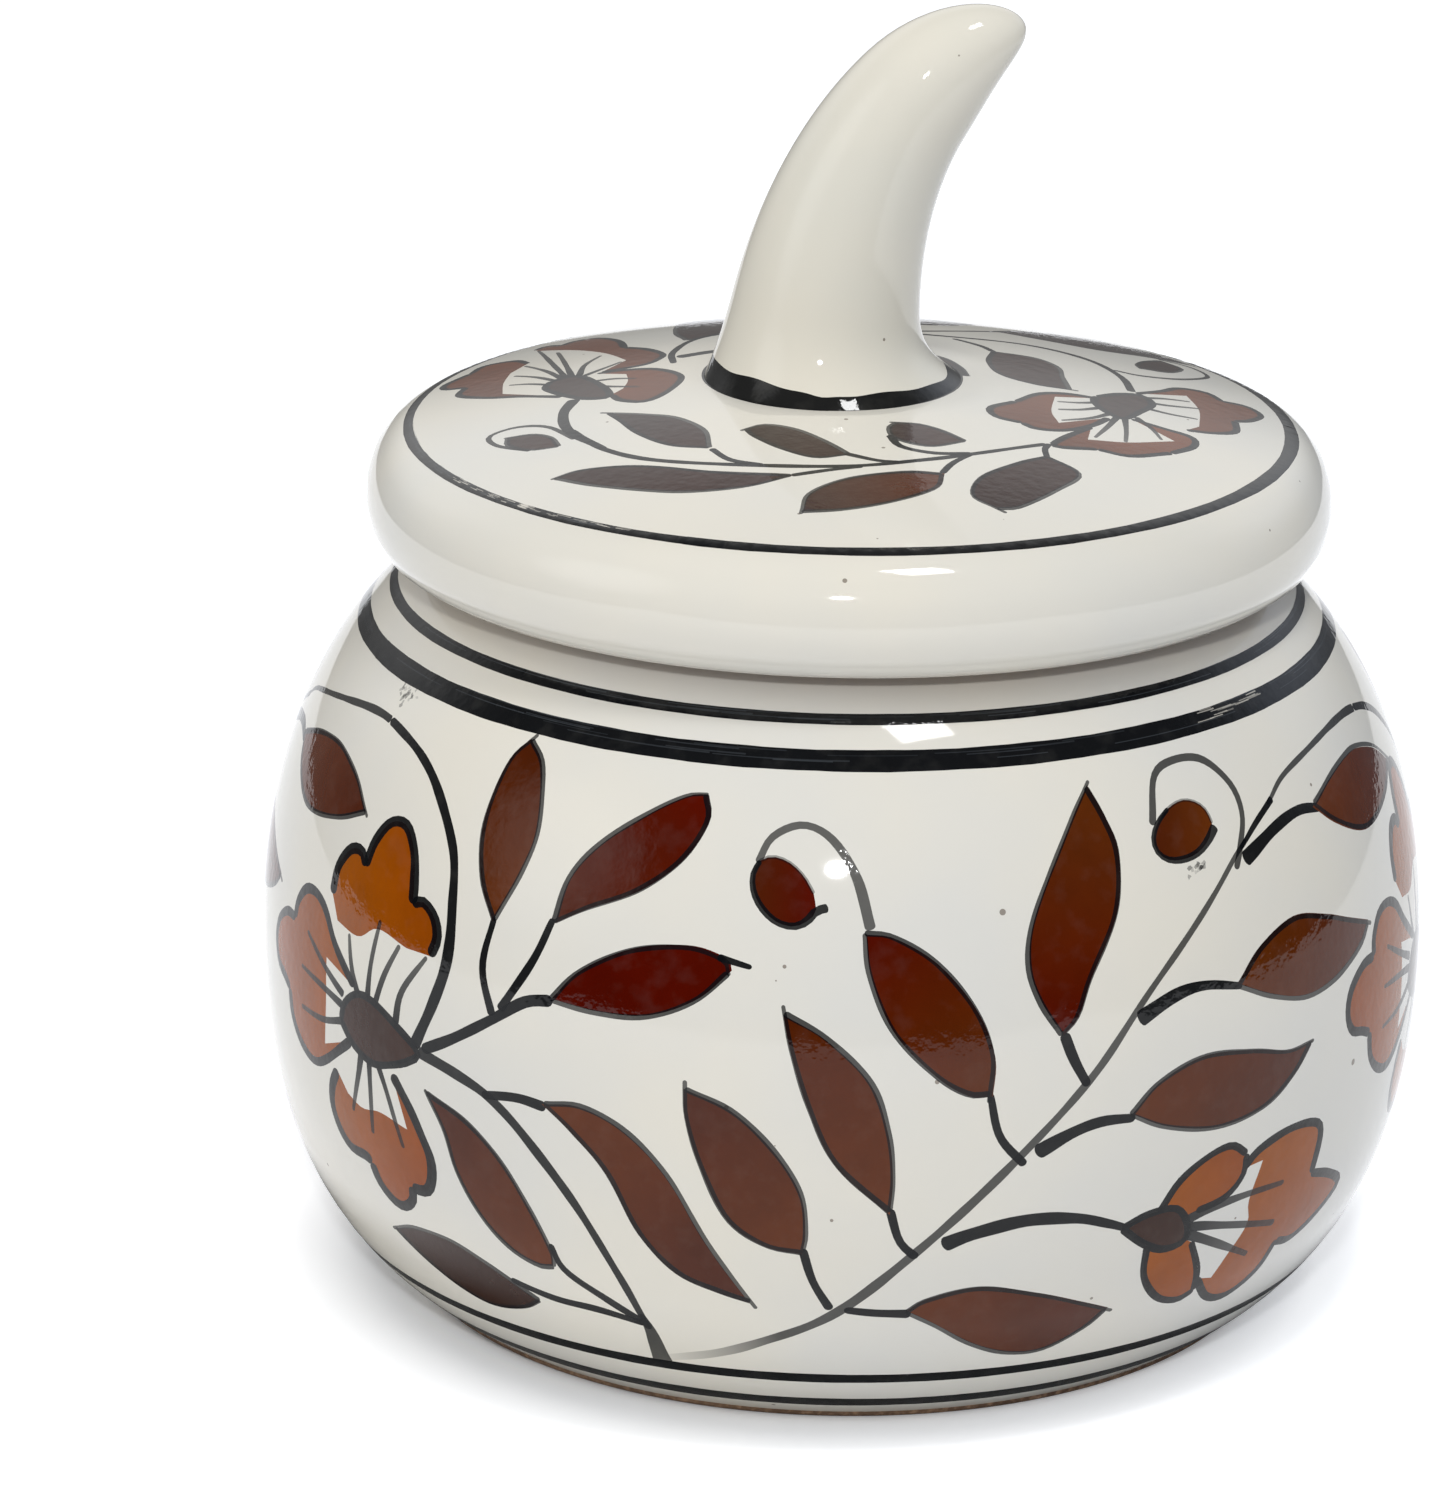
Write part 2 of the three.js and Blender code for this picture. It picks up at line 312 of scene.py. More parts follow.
def lid_top():
    """The lid's top from the middle of the land out over the dome and the roll, and under to the seat."""
    roll_centre, roll_end, radius, height_at = lid_dome()
    dome_radii = np.linspace(LAND_RADIUS, radius, DOME_POINTS)
    dome = np.column_stack((dome_radii, height_at(dome_radii)))
    undercut = LID_RADIUS - LID_UNDERCUT_WIDTH
    middle = RIM_HEIGHT + LID_UNDERCUT_HEIGHT
    roll = arc(roll_centre, middle, LID_ROLL_WIDTH, LID_ROLL_HEIGHT, roll_end, 0, ROLL_STEPS)
    under = arc(undercut, middle, LID_UNDERCUT_WIDTH, LID_UNDERCUT_HEIGHT, 0, -90, UNDERCUT_STEPS)
    land_radii = np.linspace(0, LAND_RADIUS, FLAT_POINTS)
    land = np.column_stack((land_radii, np.full(FLAT_POINTS, height_at(LAND_RADIUS))))
    return np.vstack((land[:-1], dome, roll[1:], under[1:]))


def lid_underside():
    """The seat, the flange and the hollow, as runs with sharp breaks between them."""
    height_at = lid_dome()[3]
    bottom = RIM_HEIGHT - FLANGE_DEPTH + FLANGE_ARRIS
    seat = [(LID_RADIUS - LID_UNDERCUT_WIDTH, RIM_HEIGHT), (FLANGE_RADIUS, RIM_HEIGHT)]
    outer = arris(FLANGE_RADIUS - FLANGE_ARRIS, bottom, FLANGE_ARRIS, 0, -90)
    inner = arris(HOLLOW_RADIUS + FLANGE_ARRIS, bottom, FLANGE_ARRIS, 270, 180)
    hollow_top = height_at(HOLLOW_RADIUS) - LID_WALL - HOLLOW_FILLET
    fillet = arc(HOLLOW_RADIUS - HOLLOW_FILLET, hollow_top, HOLLOW_FILLET, HOLLOW_FILLET, 0, 60, ARRIS_STEPS)
    radii = np.linspace(HOLLOW_RADIUS - HOLLOW_FILLET, 0, FLAT_POINTS)
    crown = np.column_stack((radii, height_at(radii) - LID_WALL))
    flange = np.vstack(([(FLANGE_RADIUS, RIM_HEIGHT)], outer, inner, fillet, crown))
    return [np.array(seat), flange]


class Profile:
    """A turned outline with the arc length along it."""

    def __init__(self, points):
        self.points = np.asarray(points, float)
        self.along = lengths(points)
        directions = tangents(points)
        self.normals = np.column_stack((directions[:, 1], -directions[:, 0]))

    def lift(self, distance, angle):
        """Points and outward normals in space at a distance along the outline and an angle about Z."""
        columns = (*self.points.T, *self.normals.T)
        radius, height, out, rise = [np.interp(distance, self.along, column) for column in columns]
        places = np.column_stack((radius * np.cos(angle), radius * np.sin(angle), height))
        normals = np.column_stack((out * np.cos(angle), out * np.sin(angle), rise))
        return places, normals / np.linalg.norm(normals, axis=1, keepdims=True)


# Brushwork on a flat sheet

class Canvas:
    """Fills and strokes on a sheet in millimetres. A patch runs from one paint to another on its axis."""

    def __init__(self, place, reach, seed):
        self.place = place
        self.reach = reach
        self.points = []
        self.faces = []
        self.patches = []
        self.hand = random.Random(seed)
        self.leaf_paints = (LEAF_BROWN, LEAF_DARK)
        self.petal_paints = (PETAL_ORANGE, PETAL_RUST)

    def path(self, points):
        return smooth([self.place(*point) for point in points])

    def add(self, outline, axis, paints):
        before = [outline[-1], *outline[:-1]]
        outline = [tuple(point) for point, last in zip(outline, before) if math.dist(point, last) > TINY]
        area = sum(a[0] * b[1] - b[0] * a[1] for a, b in zip(outline, outline[1:] + outline[:1]))
        if abs(area) < TINY or min(abs(point[0]) for point in outline) > self.reach:
            return
        if area < 0:
            outline.reverse()
        first = len(self.points)
        self.points.extend(outline)
        self.faces.append(list(range(first, first + len(outline))))
        corners = (np.min(outline, axis=0), np.max(outline, axis=0))
        self.patches.append((np.array(axis, float), np.array(paints, float), corners))

    def fill(self, outline, start, end):
        """A closed patch, from the start paint at its first point to the end paint half way round."""
        axis = (outline[0], outline[len(outline) // 2])
        shade = 1 + self.hand.uniform(-0.12, 0.12)
        paints = [[*(channel * shade for channel in paint), 1] for paint in (start, end)]
        self.add(outline, axis, paints)

    def stroke(self, path, start, end, ink=0.99, end_ink=None, colour=INK, shake=0.07, dry_start=0):
        """One pull of the brush along a path, with its width in millimetres at the start and at the end."""
        along = lengths(path)
        total = along[-1]
        cap = min(start, end, total) / 2
        tips = cap * ROUND_END
        middle = along[(along > cap) & (along < total - cap)]
        stops = np.concatenate((tips, [cap], middle, [total - cap], total - tips[::-1]))
        centre = resample(path, stops)
        direction = tangents(centre)
        phase = self.hand.uniform(0, 6)
        slow = np.sin(stops * SLOW_WAVE + phase)
        wobble = 1 + shake * (slow + QUICK_SHARE * np.sin(stops * QUICK_WAVE + 2 * phase))
        near = np.minimum(stops, total - stops)
        taper = np.sqrt(np.clip(1 - (1 - np.minimum(near / cap, 1)) ** 2, 0.02, 1))
        half = 0.5 * lerp(start, end, stops / total) * wobble * taper
        side = half[:, None] * np.column_stack((-direction[:, 1], direction[:, 0]))
        left = centre + side
        right = centre - side
        inks = lerp(ink, ink if end_ink is None else end_ink, stops / total)
        if dry_start:
            inks = inks * np.clip(0.1 + 0.9 * stops / dry_start, 0, 1)
        for k in range(len(stops) - 1):
            outline = [left[k], right[k], right[k + 1], left[k + 1]]
            paints = [[*colour, inks[k]], [*colour, inks[k + 1]]]
            self.add(outline, (centre[k], centre[k + 1]), paints)

    def stem(self, points, start, end, ink=0.99):
        self.stroke(self.path(points), start * STEM_SHARE, end * STEM_SHARE, ink)

    def leaf(self, base, tip, upper, lower, start=None, end=None):
        """A leaf: two brushed edges from base to tip, and a fill laid a little off them."""
        top = self.path([base, *upper, tip])
        low = self.path([base, *lower, tip])
        outline = np.vstack((top, low[-2:0:-1]))
        drift = np.array([self.hand.uniform(-0.3, 0.3), self.hand.uniform(-0.3, 0.3)])
        middle = outline.mean(axis=0)
        start = start or self.leaf_paints[0]
        end = end or self.leaf_paints[1]
        self.fill(middle + (outline - middle) * 1.01 + drift, start, end)
        flick = top[-1] + (top[-1] - top[-3]) * self.hand.uniform(0.2, 0.8)
        self.stroke(np.vstack((top, flick)), *LEAF_UPPER)
        self.stroke(low, *LEAF_LOWER)

    def petal(self, lobes, inner, width=1.3):
        """A petal: brushed lobes that run on from each other, filled as far as an inner edge."""
        edges = [self.path(lobe) for lobe in lobes]
        inside = self.path(inner)
        self.fill(np.vstack(edges + [inside]), *self.petal_paints)
        for edge in edges:
            self.stroke(edge, width, width, HEAVY_INK)

    def pod(self, points):
        """A dark closed shape with a heavy edge, from which a flower's filaments spring."""
        edge = self.path([*points, points[0]])
        self.fill(edge[:-1], POD_BROWN, POD_BROWN)
        self.stroke(edge, 0.9, 0.9)

    def bud(self, centre, across, up, lean, tail, paint):
        """A lumpy round bud, with a dark edge at its left and below that ends in a short tail."""
        points = []
        for turn in np.radians(np.arange(0, 360, 30)):
            lump = self.hand.uniform(0.95, 1.04)
            right = across * math.cos(turn) + lean * math.sin(turn)
            points.append((centre[0] + lump * right, centre[1] + lump * up * math.sin(turn)))
        edge = self.path([*points, points[0]])
        self.fill(edge[:-1], paint, LEAF_DARK)
        self.stroke(self.path(points[:6]), 0.4, 0.4, 0.6)
        self.stroke(self.path([*points[4:], tail]), 0.5, 1.0, 0.96)

    def filaments(self, ends, width=0.95):
        """Strokes that start heavy at a pod and thin out in a petal."""
        for points in ends:
            self.stroke(self.path(points), width, width * 0.55, 0.99, 0.85)

    def dry_and_sheen_streaks(self, path, width, count, colour=BARE_AND_SHEEN, longest=5):
        """Thin streaks along one half of a brushed path, where the bristles part or run dry; in pale paint
        they also make a painted highlight.
        """
        total = lengths(path)[-1]
        for _ in range(count):
            first = self.hand.uniform(0, total - longest)
            stops = first + np.linspace(0, self.hand.uniform(0.3, 1) * longest, 4)
            streak = resample(path, stops)
            direction = tangents(streak)
            across = np.column_stack((-direction[:, 1], direction[:, 0]))
            streak = streak + across * width * self.hand.uniform(-0.1, 0.5)
            end = self.hand.uniform(0.08, 0.18)
            cover = self.hand.uniform(0.2, 0.6)
            self.stroke(streak, 0.1, end, cover, colour=colour)

    def smudge(self, centre, reach, count):
        """Faint dabs where wet paint was touched."""
        middle = np.array(self.place(*centre))
        for _ in range(count):
            dab = middle + [self.hand.gauss(0, reach), self.hand.gauss(0, reach * 0.6)]
            outline = []
            for turn in np.radians(range(0, 360, 60)):
                radius = self.hand.uniform(0.1, 0.4)
                outline.append(dab + radius * np.array((math.cos(turn), math.sin(turn))))
            cover = self.hand.uniform(0.15, 0.6)
            self.add(outline, (outline[0], outline[3]), [[*INK, cover], [*INK, cover]])


def painted(canvas, border, grid):
    """Cuts the sheet along every patch. Returns its points, its triangles and a paint for each corner."""
    points = [*map(tuple, border), *canvas.points, *map(tuple, grid)]
    shift = len(border)
    faces = [list(range(shift))] + [[index + shift for index in face] for face in canvas.faces]
    result = delaunay_2d_cdt([Vector(point) for point in points], [], faces, 0, CUT_TOLERANCE, True)
    sheet = np.array([(point.x, point.y) for point in result[0]])
    triangles = []
    colours = []
    for corners, origins in zip(result[2], result[5]):
        if 0 not in origins:
            continue
        middle = sheet[corners].mean(axis=0)
        layers = [canvas.patches[origin - 1] for origin in sorted(origins) if origin > 0]
        layers = [layer for layer in layers if in_box(middle, *layer[2])]
        triangles.append(tuple(corners))
        colours.extend(blend_layers(sheet[corner], layers) for corner in corners)
    return sheet, triangles, colours


def in_box(point, low, high):
    return np.all(low <= point) and np.all(point <= high)


def blend_layers(point, layers):
    """The paint at a point under its layers of brushwork, as a colour and how far it covers the glaze."""
    colour = np.zeros(3)
    cover = 0.0
    for (start, end), paints, _ in layers:
        axis = end - start
        share = float(np.clip(np.dot(point - start, axis) / max(np.dot(axis, axis), NEAR_ZERO), 0, 1))
        paint = lerp(paints[0], paints[1], share)
        total = paint[3] + cover * (1 - paint[3])
        colour = (paint[:3] * paint[3] + colour * cover * (1 - paint[3])) / max(total, NEAR_ZERO)
        cover = total
    return (*colour, cover)


# The pot's pattern, in degrees round the jar and millimetres up it; 0 degrees faces the front

def vine_stem(canvas, here, there):
    """The stem of one length of the vine, and a second, lighter pull that arches over to the next flower."""
    stem = [(-17.5, 9.5), (-12, 11.2), (-7, 13.6), (0, 17.8), (8, 26), (17, 36), (24, 44), (30.7, 52.5),
            (41, 62), (44.5, 64.5)]
    canvas.stroke(smooth([here(*point) for point in stem]), 1.3, 0.6, 0.9, 0.88, dry_start=14)
    canvas.stroke(smooth([here(*point) for point in ((43.5, 63.8), (46.5, 65.7), (50, 67.4))]), 0.5, 0.9)
    arch = [(-64, 71.4), (-55, 71), (-47.7, 68.5), (-42, 63), (-40.3, 57), (-40, 51.5),
            (-41.3, 46.5), (-43.6, 41)]
    path = smooth([here(49, 67), here(54, 69.2)] + [there(*point) for point in arch])
    turn = len(path) * 2 // 5
    canvas.stroke(path[:turn + 1], 0.5, 0.95, 0.9, 0.97)
    canvas.stroke(path[turn:], 0.95, 1.45)


def leaf_spray(canvas):
    """The leaves and curled buds on one length of the vine."""
    leaf = canvas.leaf
    stem = canvas.stem
    stem([(-43, 40.7), (-38, 39.6), (-34, 38), (-30, 34.5), (-25, 28), (-21, 20), (-18.7, 13.5)],
         1.5, 0.9, 0.97)
    canvas.stroke(canvas.path([(-19.4, 15.5), (-18.6, 13), (-18.2, 8.6)]), 0.9, 2.3, 0.97, 0.86)
    stem([(-35, 57.3), (-35.6, 52), (-34, 47.2)], 0.9, 1.0)
    leaf((-35, 57), (-36.5, 74.4), [(-37.4, 61), (-38.7, 66), (-38.2, 72)],
         [(-32.8, 62.5), (-32.1, 67), (-33.8, 72.3)])
    stem([(-28.4, 58.6), (-30, 54), (-33.2, 48)], 0.8, 1.2)
    leaf((-28.3, 58.3), (-14.5, 72.3), [(-27.4, 63), (-24.6, 66.8), (-20, 70.2), (-16.5, 72)],
         [(-25, 60.3), (-20, 62.8), (-16, 66.2), (-13.9, 70)], LEAF_DARK, LEAF_RED)
    stem([(-27.5, 50.3), (-30.5, 49.5), (-34, 46.8), (-38.5, 43.5), (-42.5, 41)], 1.4, 1.3)
    leaf((-27.8, 50.3), (-10.4, 55.7), [(-25, 53.8), (-20, 56.8), (-14.5, 57.8), (-11, 56.9)],
         [(-23, 49.9), (-18, 50.3), (-13.5, 52.5)], LEAF_RED, LEAF_RED)
    stem([(-11.5, 57.2), (-8.2, 56.4)], 0.9, 0.6)
    stem([(-8.3, 66.5), (-7, 69), (-4, 70.2), (-1, 69), (1.5, 65.5), (2.9, 60.5)], 0.8, 1.25, 0.84)
    canvas.bud((-5.6, 63.9), 3.0, 3.3, -1.1, (-1.2, 62.6), LEAF_RED)
    stem([(14, 43.3), (15, 38.5), (17.5, 35)], 0.8, 1.0)
    leaf((2.3, 60.2), (14, 43.3), [(5, 59.8), (9, 57.2), (12.5, 52.5), (14.2, 47.5)],
         [(2.8, 56), (5, 50.3), (9, 45.5), (12, 43.4)], LEAF_RED, LEAF_BROWN)
    stem([(21.1, 49), (22.1, 46), (23.5, 43)], 1.3, 1.2)
    leaf((20.9, 48.8), (26.5, 72.4), [(18.9, 52.4), (17.9, 56), (18.4, 60), (20.6, 64.6), (24, 69.6)],
         [(22.5, 50.6), (24, 54.4), (27.3, 60.5), (28.4, 66), (27.7, 69.4)], LEAF_RED, LEAF_BROWN)
    stem([(33.2, 68), (35, 72.2), (38, 73.3), (42, 72.8), (44.7, 70), (45, 67), (43.5, 64), (42.3, 62)],
         1.0, 0.9, 0.9)
    canvas.bud((36.8, 66.9), 3.8, 2.7, 0.8, (40.9, 66.6), LEAF_BROWN)
    stem([(43.6, 62.6), (49, 64.6), (53.5, 65.3), (57.5, 64.6)], 2.0, 1.0)
    leaf((56.5, 65.2), (78.7, 63.5), [(61.3, 66.8), (66, 67.6), (70, 67.5), (75, 66)],
         [(59.5, 62.8), (64, 60.6), (68, 60.2), (74, 61.5)])
    stem([(28.8, 49.2), (33, 51), (36.5, 51.3), (41, 50.2)], 2.0, 0.9)
    leaf((40.5, 50.3), (62, 50.8), [(44, 53.5), (49, 55.2), (54, 54), (58, 52.4)],
         [(45, 48), (50, 46.5), (55, 47), (60, 49)], LEAF_BROWN)
    stem([(18.5, 36.2), (22, 38), (25, 38.8), (28.5, 38.6)], 2.0, 1.1)
    leaf((28, 39), (50.5, 41.3), [(31, 42), (36, 43.7), (42, 42.8), (47, 41.3)],
         [(32, 36.8), (38, 35.3), (44, 36), (48, 38.5)])
    stem([(1, 18.4), (4, 18), (7.5, 17.8)], 1.0, 1.3)
    leaf((7, 18), (28, 15.5), [(9, 19.5), (14, 20.6), (20, 19), (25, 16.9)],
         [(10, 16), (14, 13), (18, 11.2), (22, 11), (26, 13.3)])
    stem([(5, 30.8), (6, 27), (7.7, 24.9)], 1.0, 1.1)
    leaf((5, 30.5), (-5, 52), [(0, 36), (-2.5, 42), (-4.2, 48)],
         [(5.2, 34.5), (4.7, 39.5), (3, 45), (-1, 49.5)])
    stem([(-3, 26), (-2, 22), (-0.3, 18.4)], 1.0, 1.1)
    leaf((-3, 25.5), (-14, 43.2), [(-6.5, 26.2), (-10, 29), (-12.5, 35), (-13.8, 40)],
         [(-2.7, 28), (-3.2, 32.5), (-5.7, 37.2), (-9.5, 41.2)])
    stem([(-35, 38.2), (-31, 38.9), (-27.8, 38.6)], 1.0, 1.3)
    leaf((-28, 39), (-8, 19), [(-24, 39.5), (-19.5, 37.5), (-15.5, 33), (-12, 26)],
         [(-25, 36.5), (-21.5, 32.5), (-18.5, 26), (-15, 21.8), (-11, 20)])
    stem([(-28.2, 22.5), (-27, 19.5), (-23, 16.8), (-18.9, 14.2)], 0.9, 1.2)
    leaf((-28.2, 19.6), (-42, 36.3), [(-30, 19.3), (-33, 20.5), (-36, 23.5), (-38.5, 28), (-39.8, 32.5)],
         [(-28.2, 21.5), (-30, 26), (-33, 31), (-37, 34.5)])
    stem([(-34, 16.2), (-29, 15.2), (-24, 15), (-19, 14.2)], 1.1, 1.1)
    leaf((-31, 14.3), (-50.3, 17), [(-33, 15.5), (-36.5, 17.3), (-41, 18.8), (-46.5, 18.5)],
         [(-33.5, 12.6), (-38, 11.4), (-42, 12.2), (-46.5, 14.5)], POD_BROWN, POD_BROWN)


def large_flower(canvas):
    """The three-petalled flower that hangs from the arched stem."""
    canvas.petal(
        [[(-58.7, 53), (-58.6, 56), (-57, 58.4), (-55, 58.8), (-53.8, 57.6)],
         [(-53.8, 57.6), (-53.2, 60.5), (-51.5, 62.9), (-49, 63.2), (-46.9, 61), (-45.9, 58), (-45.6, 56)],
         [(-45.6, 56), (-44.2, 56.6), (-42.4, 55.5), (-41.6, 53.5), (-42.2, 51.4)]],
        [(-45.5, 51.3), (-50, 52), (-53, 50.2), (-57, 50.6)])
    canvas.petal(
        [[(-53, 44.6), (-57, 48), (-59.5, 50.8), (-62, 51.9), (-64.5, 51.5), (-66.2, 49.5), (-66.5, 47.5)],
         [(-66.5, 47.5), (-69, 47.3), (-71.5, 45.5), (-72.3, 43), (-71.3, 40.7), (-69, 39.8), (-67.4, 39)],
         [(-67.4, 39), (-66.7, 36), (-64.5, 33.8), (-61.5, 32.9), (-58.5, 34.2), (-53.5, 38.2)]],
        [(-58.6, 36), (-58.2, 41), (-58.4, 46)], 1.1)
    canvas.petal(
        [[(-56.3, 33.8), (-57.6, 31.5), (-58, 29), (-57, 26.5), (-55.2, 25.1), (-52.5, 25.1), (-51.6, 24.6)],
         [(-51.6, 24.6), (-50.8, 22.5), (-49, 21), (-47.3, 20.9), (-45.7, 22.2), (-45.3, 24)],
         [(-45.3, 23.9), (-43.2, 24.3), (-42.2, 26), (-42, 28.5), (-43, 31), (-44.5, 33.8), (-46.8, 36.8)]],
        [(-45, 31), (-49, 31.6), (-52, 31), (-54.5, 31.8)])
    canvas.pod(
        [(-55.2, 40), (-54.7, 42), (-53, 43.7), (-51, 44.2), (-48, 43.4), (-43.2, 40.7), (-44.5, 39),
         (-47.5, 37.6), (-50, 37), (-53, 38)])
    canvas.filaments(
        [[(-52.3, 44), (-53.6, 46.5), (-54.6, 50)], [(-50.7, 44), (-50.5, 48), (-49.8, 53)],
         [(-49.5, 43.8), (-48.3, 47.5), (-46.5, 51.3)], [(-46.3, 42.7), (-45.6, 46.5), (-42.6, 51.2)],
         [(-54.8, 43), (-58.5, 44.8), (-63, 47.3)], [(-55, 41.8), (-59, 42.5), (-64, 43)],
         [(-55, 40), (-59, 38.7), (-64, 38.3)], [(-51.7, 37.3), (-52.4, 34.5), (-53.8, 30)],
         [(-50.4, 37), (-50.4, 33), (-50.6, 28.5)], [(-49, 37.2), (-47.6, 34), (-45.8, 28.5)]])


def small_flower(canvas):
    """The side flower low on the vine, with a calyx and two small petals before the large one."""
    canvas.petal(
        [[(42, 29.3), (44, 31), (48, 32), (52, 31.5), (53.6, 29.8), (53.2, 25)],
         [(53.2, 25), (57, 23.5), (60, 21.2), (57, 18.6), (53, 17), (50, 17.6)],
         [(50, 17.8), (48.5, 14.3), (45, 12.3), (41.5, 13.3), (38.8, 16.6)]],
        [(41, 16), (42.2, 18.5), (44, 22), (43.5, 25), (44.6, 29.5)], 1.05)
    canvas.petal(
        [[(32, 26.8), (34, 30), (37, 32), (40, 32.6), (42.2, 31)],
         [(42.2, 31), (42, 28.5), (40, 26.5), (36.5, 25.8)]],
        [(34.5, 25.5), (33, 26)], 0.9)
    canvas.petal(
        [[(31.2, 23), (31.6, 19), (34, 15.6), (37, 14.3), (39, 15)],
         [(39, 15), (38.4, 18), (36.6, 22)]],
        [(35, 23), (33, 23)], 0.9)
    canvas.stem([(10, 26.3), (13, 27.5), (18, 28.5), (23, 28), (26.5, 26.7), (28.8, 25.6)], 2.1, 1.1)
    canvas.filaments(
        [[(34, 24.5), (38, 25.6), (43, 25.9), (48.5, 25.6)], [(34, 24.2), (38, 23.6), (48.5, 20.6)],
         [(34, 24), (38, 22), (45.5, 17.6)]], 1.3)
    canvas.pod(
        [(28, 25.8), (30.8, 26.9), (34, 26.8), (35.7, 24.4), (35.6, 22.4), (33.2, 22), (30.6, 23.4)])


def jar_rings(canvas):
    """Brushed bands round the shoulder and above the foot, each with the overlap where the brush was lifted.
    The shoulder's bands have grey marks of the bristles, and its wide one pale streaks at the right, a
    painted highlight.
    """
    for start, height, width, highlight_marks in JAR_BANDS:
        for first in (start, start - 360):
            canvas.hand.seed(start)
            turn = range(first - BAND_STEP, first + BAND_TURN, BAND_STEP)
            path = np.array([canvas.place(degrees, height) for degrees in turn])
            canvas.stroke(path, width, width * BAND_TAPER, BAND_INK, shake=0.025)
            if height > BELLY_HEIGHT:
                canvas.dry_and_sheen_streaks(path, width, BRISTLE_MARKS, INK_GREY, BRISTLE_LENGTH)
                # Pale streaks at the right of the wide band: a painted highlight along its upper edge
                canvas.dry_and_sheen_streaks(path[HIGHLIGHT_STRETCH], width, highlight_marks)
    canvas.smudge((-58.5, 74), 1.0, 26)
    canvas.smudge((37.5, 63.2), 0.7, 16)


def jar_canvas(wall):
    """The whole pattern on the unrolled wall. The vine has three lengths, one of them drawn closer."""
    def on_wall(degrees, height):
        distance = np.interp(height, wall.points[:, 1], wall.along)
        return (math.radians(degrees) * SHEET_RADIUS, float(distance))

    def vine_place(turn, squeeze, drop):
        """Places one length of the vine. Past its flower's stem the length is drawn closer."""
        def place(degrees, height):
            past_flower = max(degrees - FLOWER_STEM, 0)
            return on_wall(degrees + turn - past_flower * (1 - squeeze), height - drop)

        return place

    canvas = Canvas(on_wall, (math.pi + WALL_OVERLAP) * SHEET_RADIUS, JAR_SEED)
    places = [vine_place(turn + lap, squeeze, drop)
              for lap in (-360, 0, 360) for turn, squeeze, drop in VINE_LENGTHS]
    for index, (here, there) in enumerate(zip(places, places[1:])):
        canvas.hand.seed(index % len(VINE_LENGTHS))
        canvas.place = here
        leaf_spray(canvas)
        large_flower(canvas)
        small_flower(canvas)
        vine_stem(canvas, here, there)
    canvas.place = on_wall
    jar_rings(canvas)
    return canvas


# The lid's pattern, in millimetres from its middle with the front towards -Y

def lid_vine(canvas):
    """Stems, leaves and buds between the lid's two flowers."""
    leaf = canvas.leaf
    stem = canvas.stem
    stem([(-30, -5), (-31, -10), (-30, -16), (-26, -22.5)], 1.7, 1.1)
    stem([(-30, -15.5), (-26, -22.5), (-20, -27), (-10, -29.6), (0, -30), (8, -27.7), (14, -24.8),
         (21, -20.5)], 1.0, 0.9)
    stem([(-29.4, -18.5), (-32.5, -13.5), (-36, -12), (-38.8, -13.6), (-37.7, -17), (-34, -20)],
         0.7, 0.8, 0.95)
    leaf((-31, -20), (-36.7, -15), [(-32, -17), (-34, -15.2)], [(-34, -19.8), (-36.5, -17.5)])
    stem([(-14.6, -24.8), (-12.5, -28), (-9, -29.6)], 1.0, 0.8)
    leaf((-14.8, -24.5), (-26, -11.5), [(-15.5, -19.5), (-18.5, -15.2), (-22, -13.2)],
         [(-19, -23), (-22.5, -19), (-24.6, -14.5)])
    stem([(-6, -32.3), (-2, -31), (1.5, -30)], 0.9, 0.7)
    leaf((-6, -32.3), (-31, -28.6), [(-14, -30.9), (-22, -28), (-28, -27.4)],
         [(-11, -34.7), (-18, -35), (-26, -32)])
    stem([(-0.5, -26.8), (3, -28.4), (5.5, -28.6)], 0.9, 0.7)
    leaf((0, -27), (-11, -19.8), [(-3, -23), (-6, -20), (-9, -18.7)],
         [(-3.5, -27.8), (-7, -25.5), (-10, -22)])
    stem([(4.3, -21.5), (5.5, -24.5), (9, -25.8), (13, -25.2)], 1.1, 0.8)
    leaf((12.3, -22), (5, -17.8), [(10, -19.6), (7.5, -18)], [(8.5, -24), (5, -22.4), (4.2, -19.6)])
    stem([(9.8, -30.8), (11, -28), (13, -25.3)], 0.9, 0.7)
    leaf((9.8, -31), (-4.8, -40.5), [(6, -31), (0, -33), (-4, -36.5)],
         [(9, -34.5), (4.5, -38), (-0.5, -40)], LEAF_BROWN, LID_LEAF)
    stem([(21, -24.2), (20.8, -22), (21.3, -20.3)], 0.9, 0.9)
    leaf((21, -24), (15.5, -38), [(18, -26.5), (14, -31), (13, -35.5)],
         [(24.3, -27.5), (22, -32), (18, -37)])


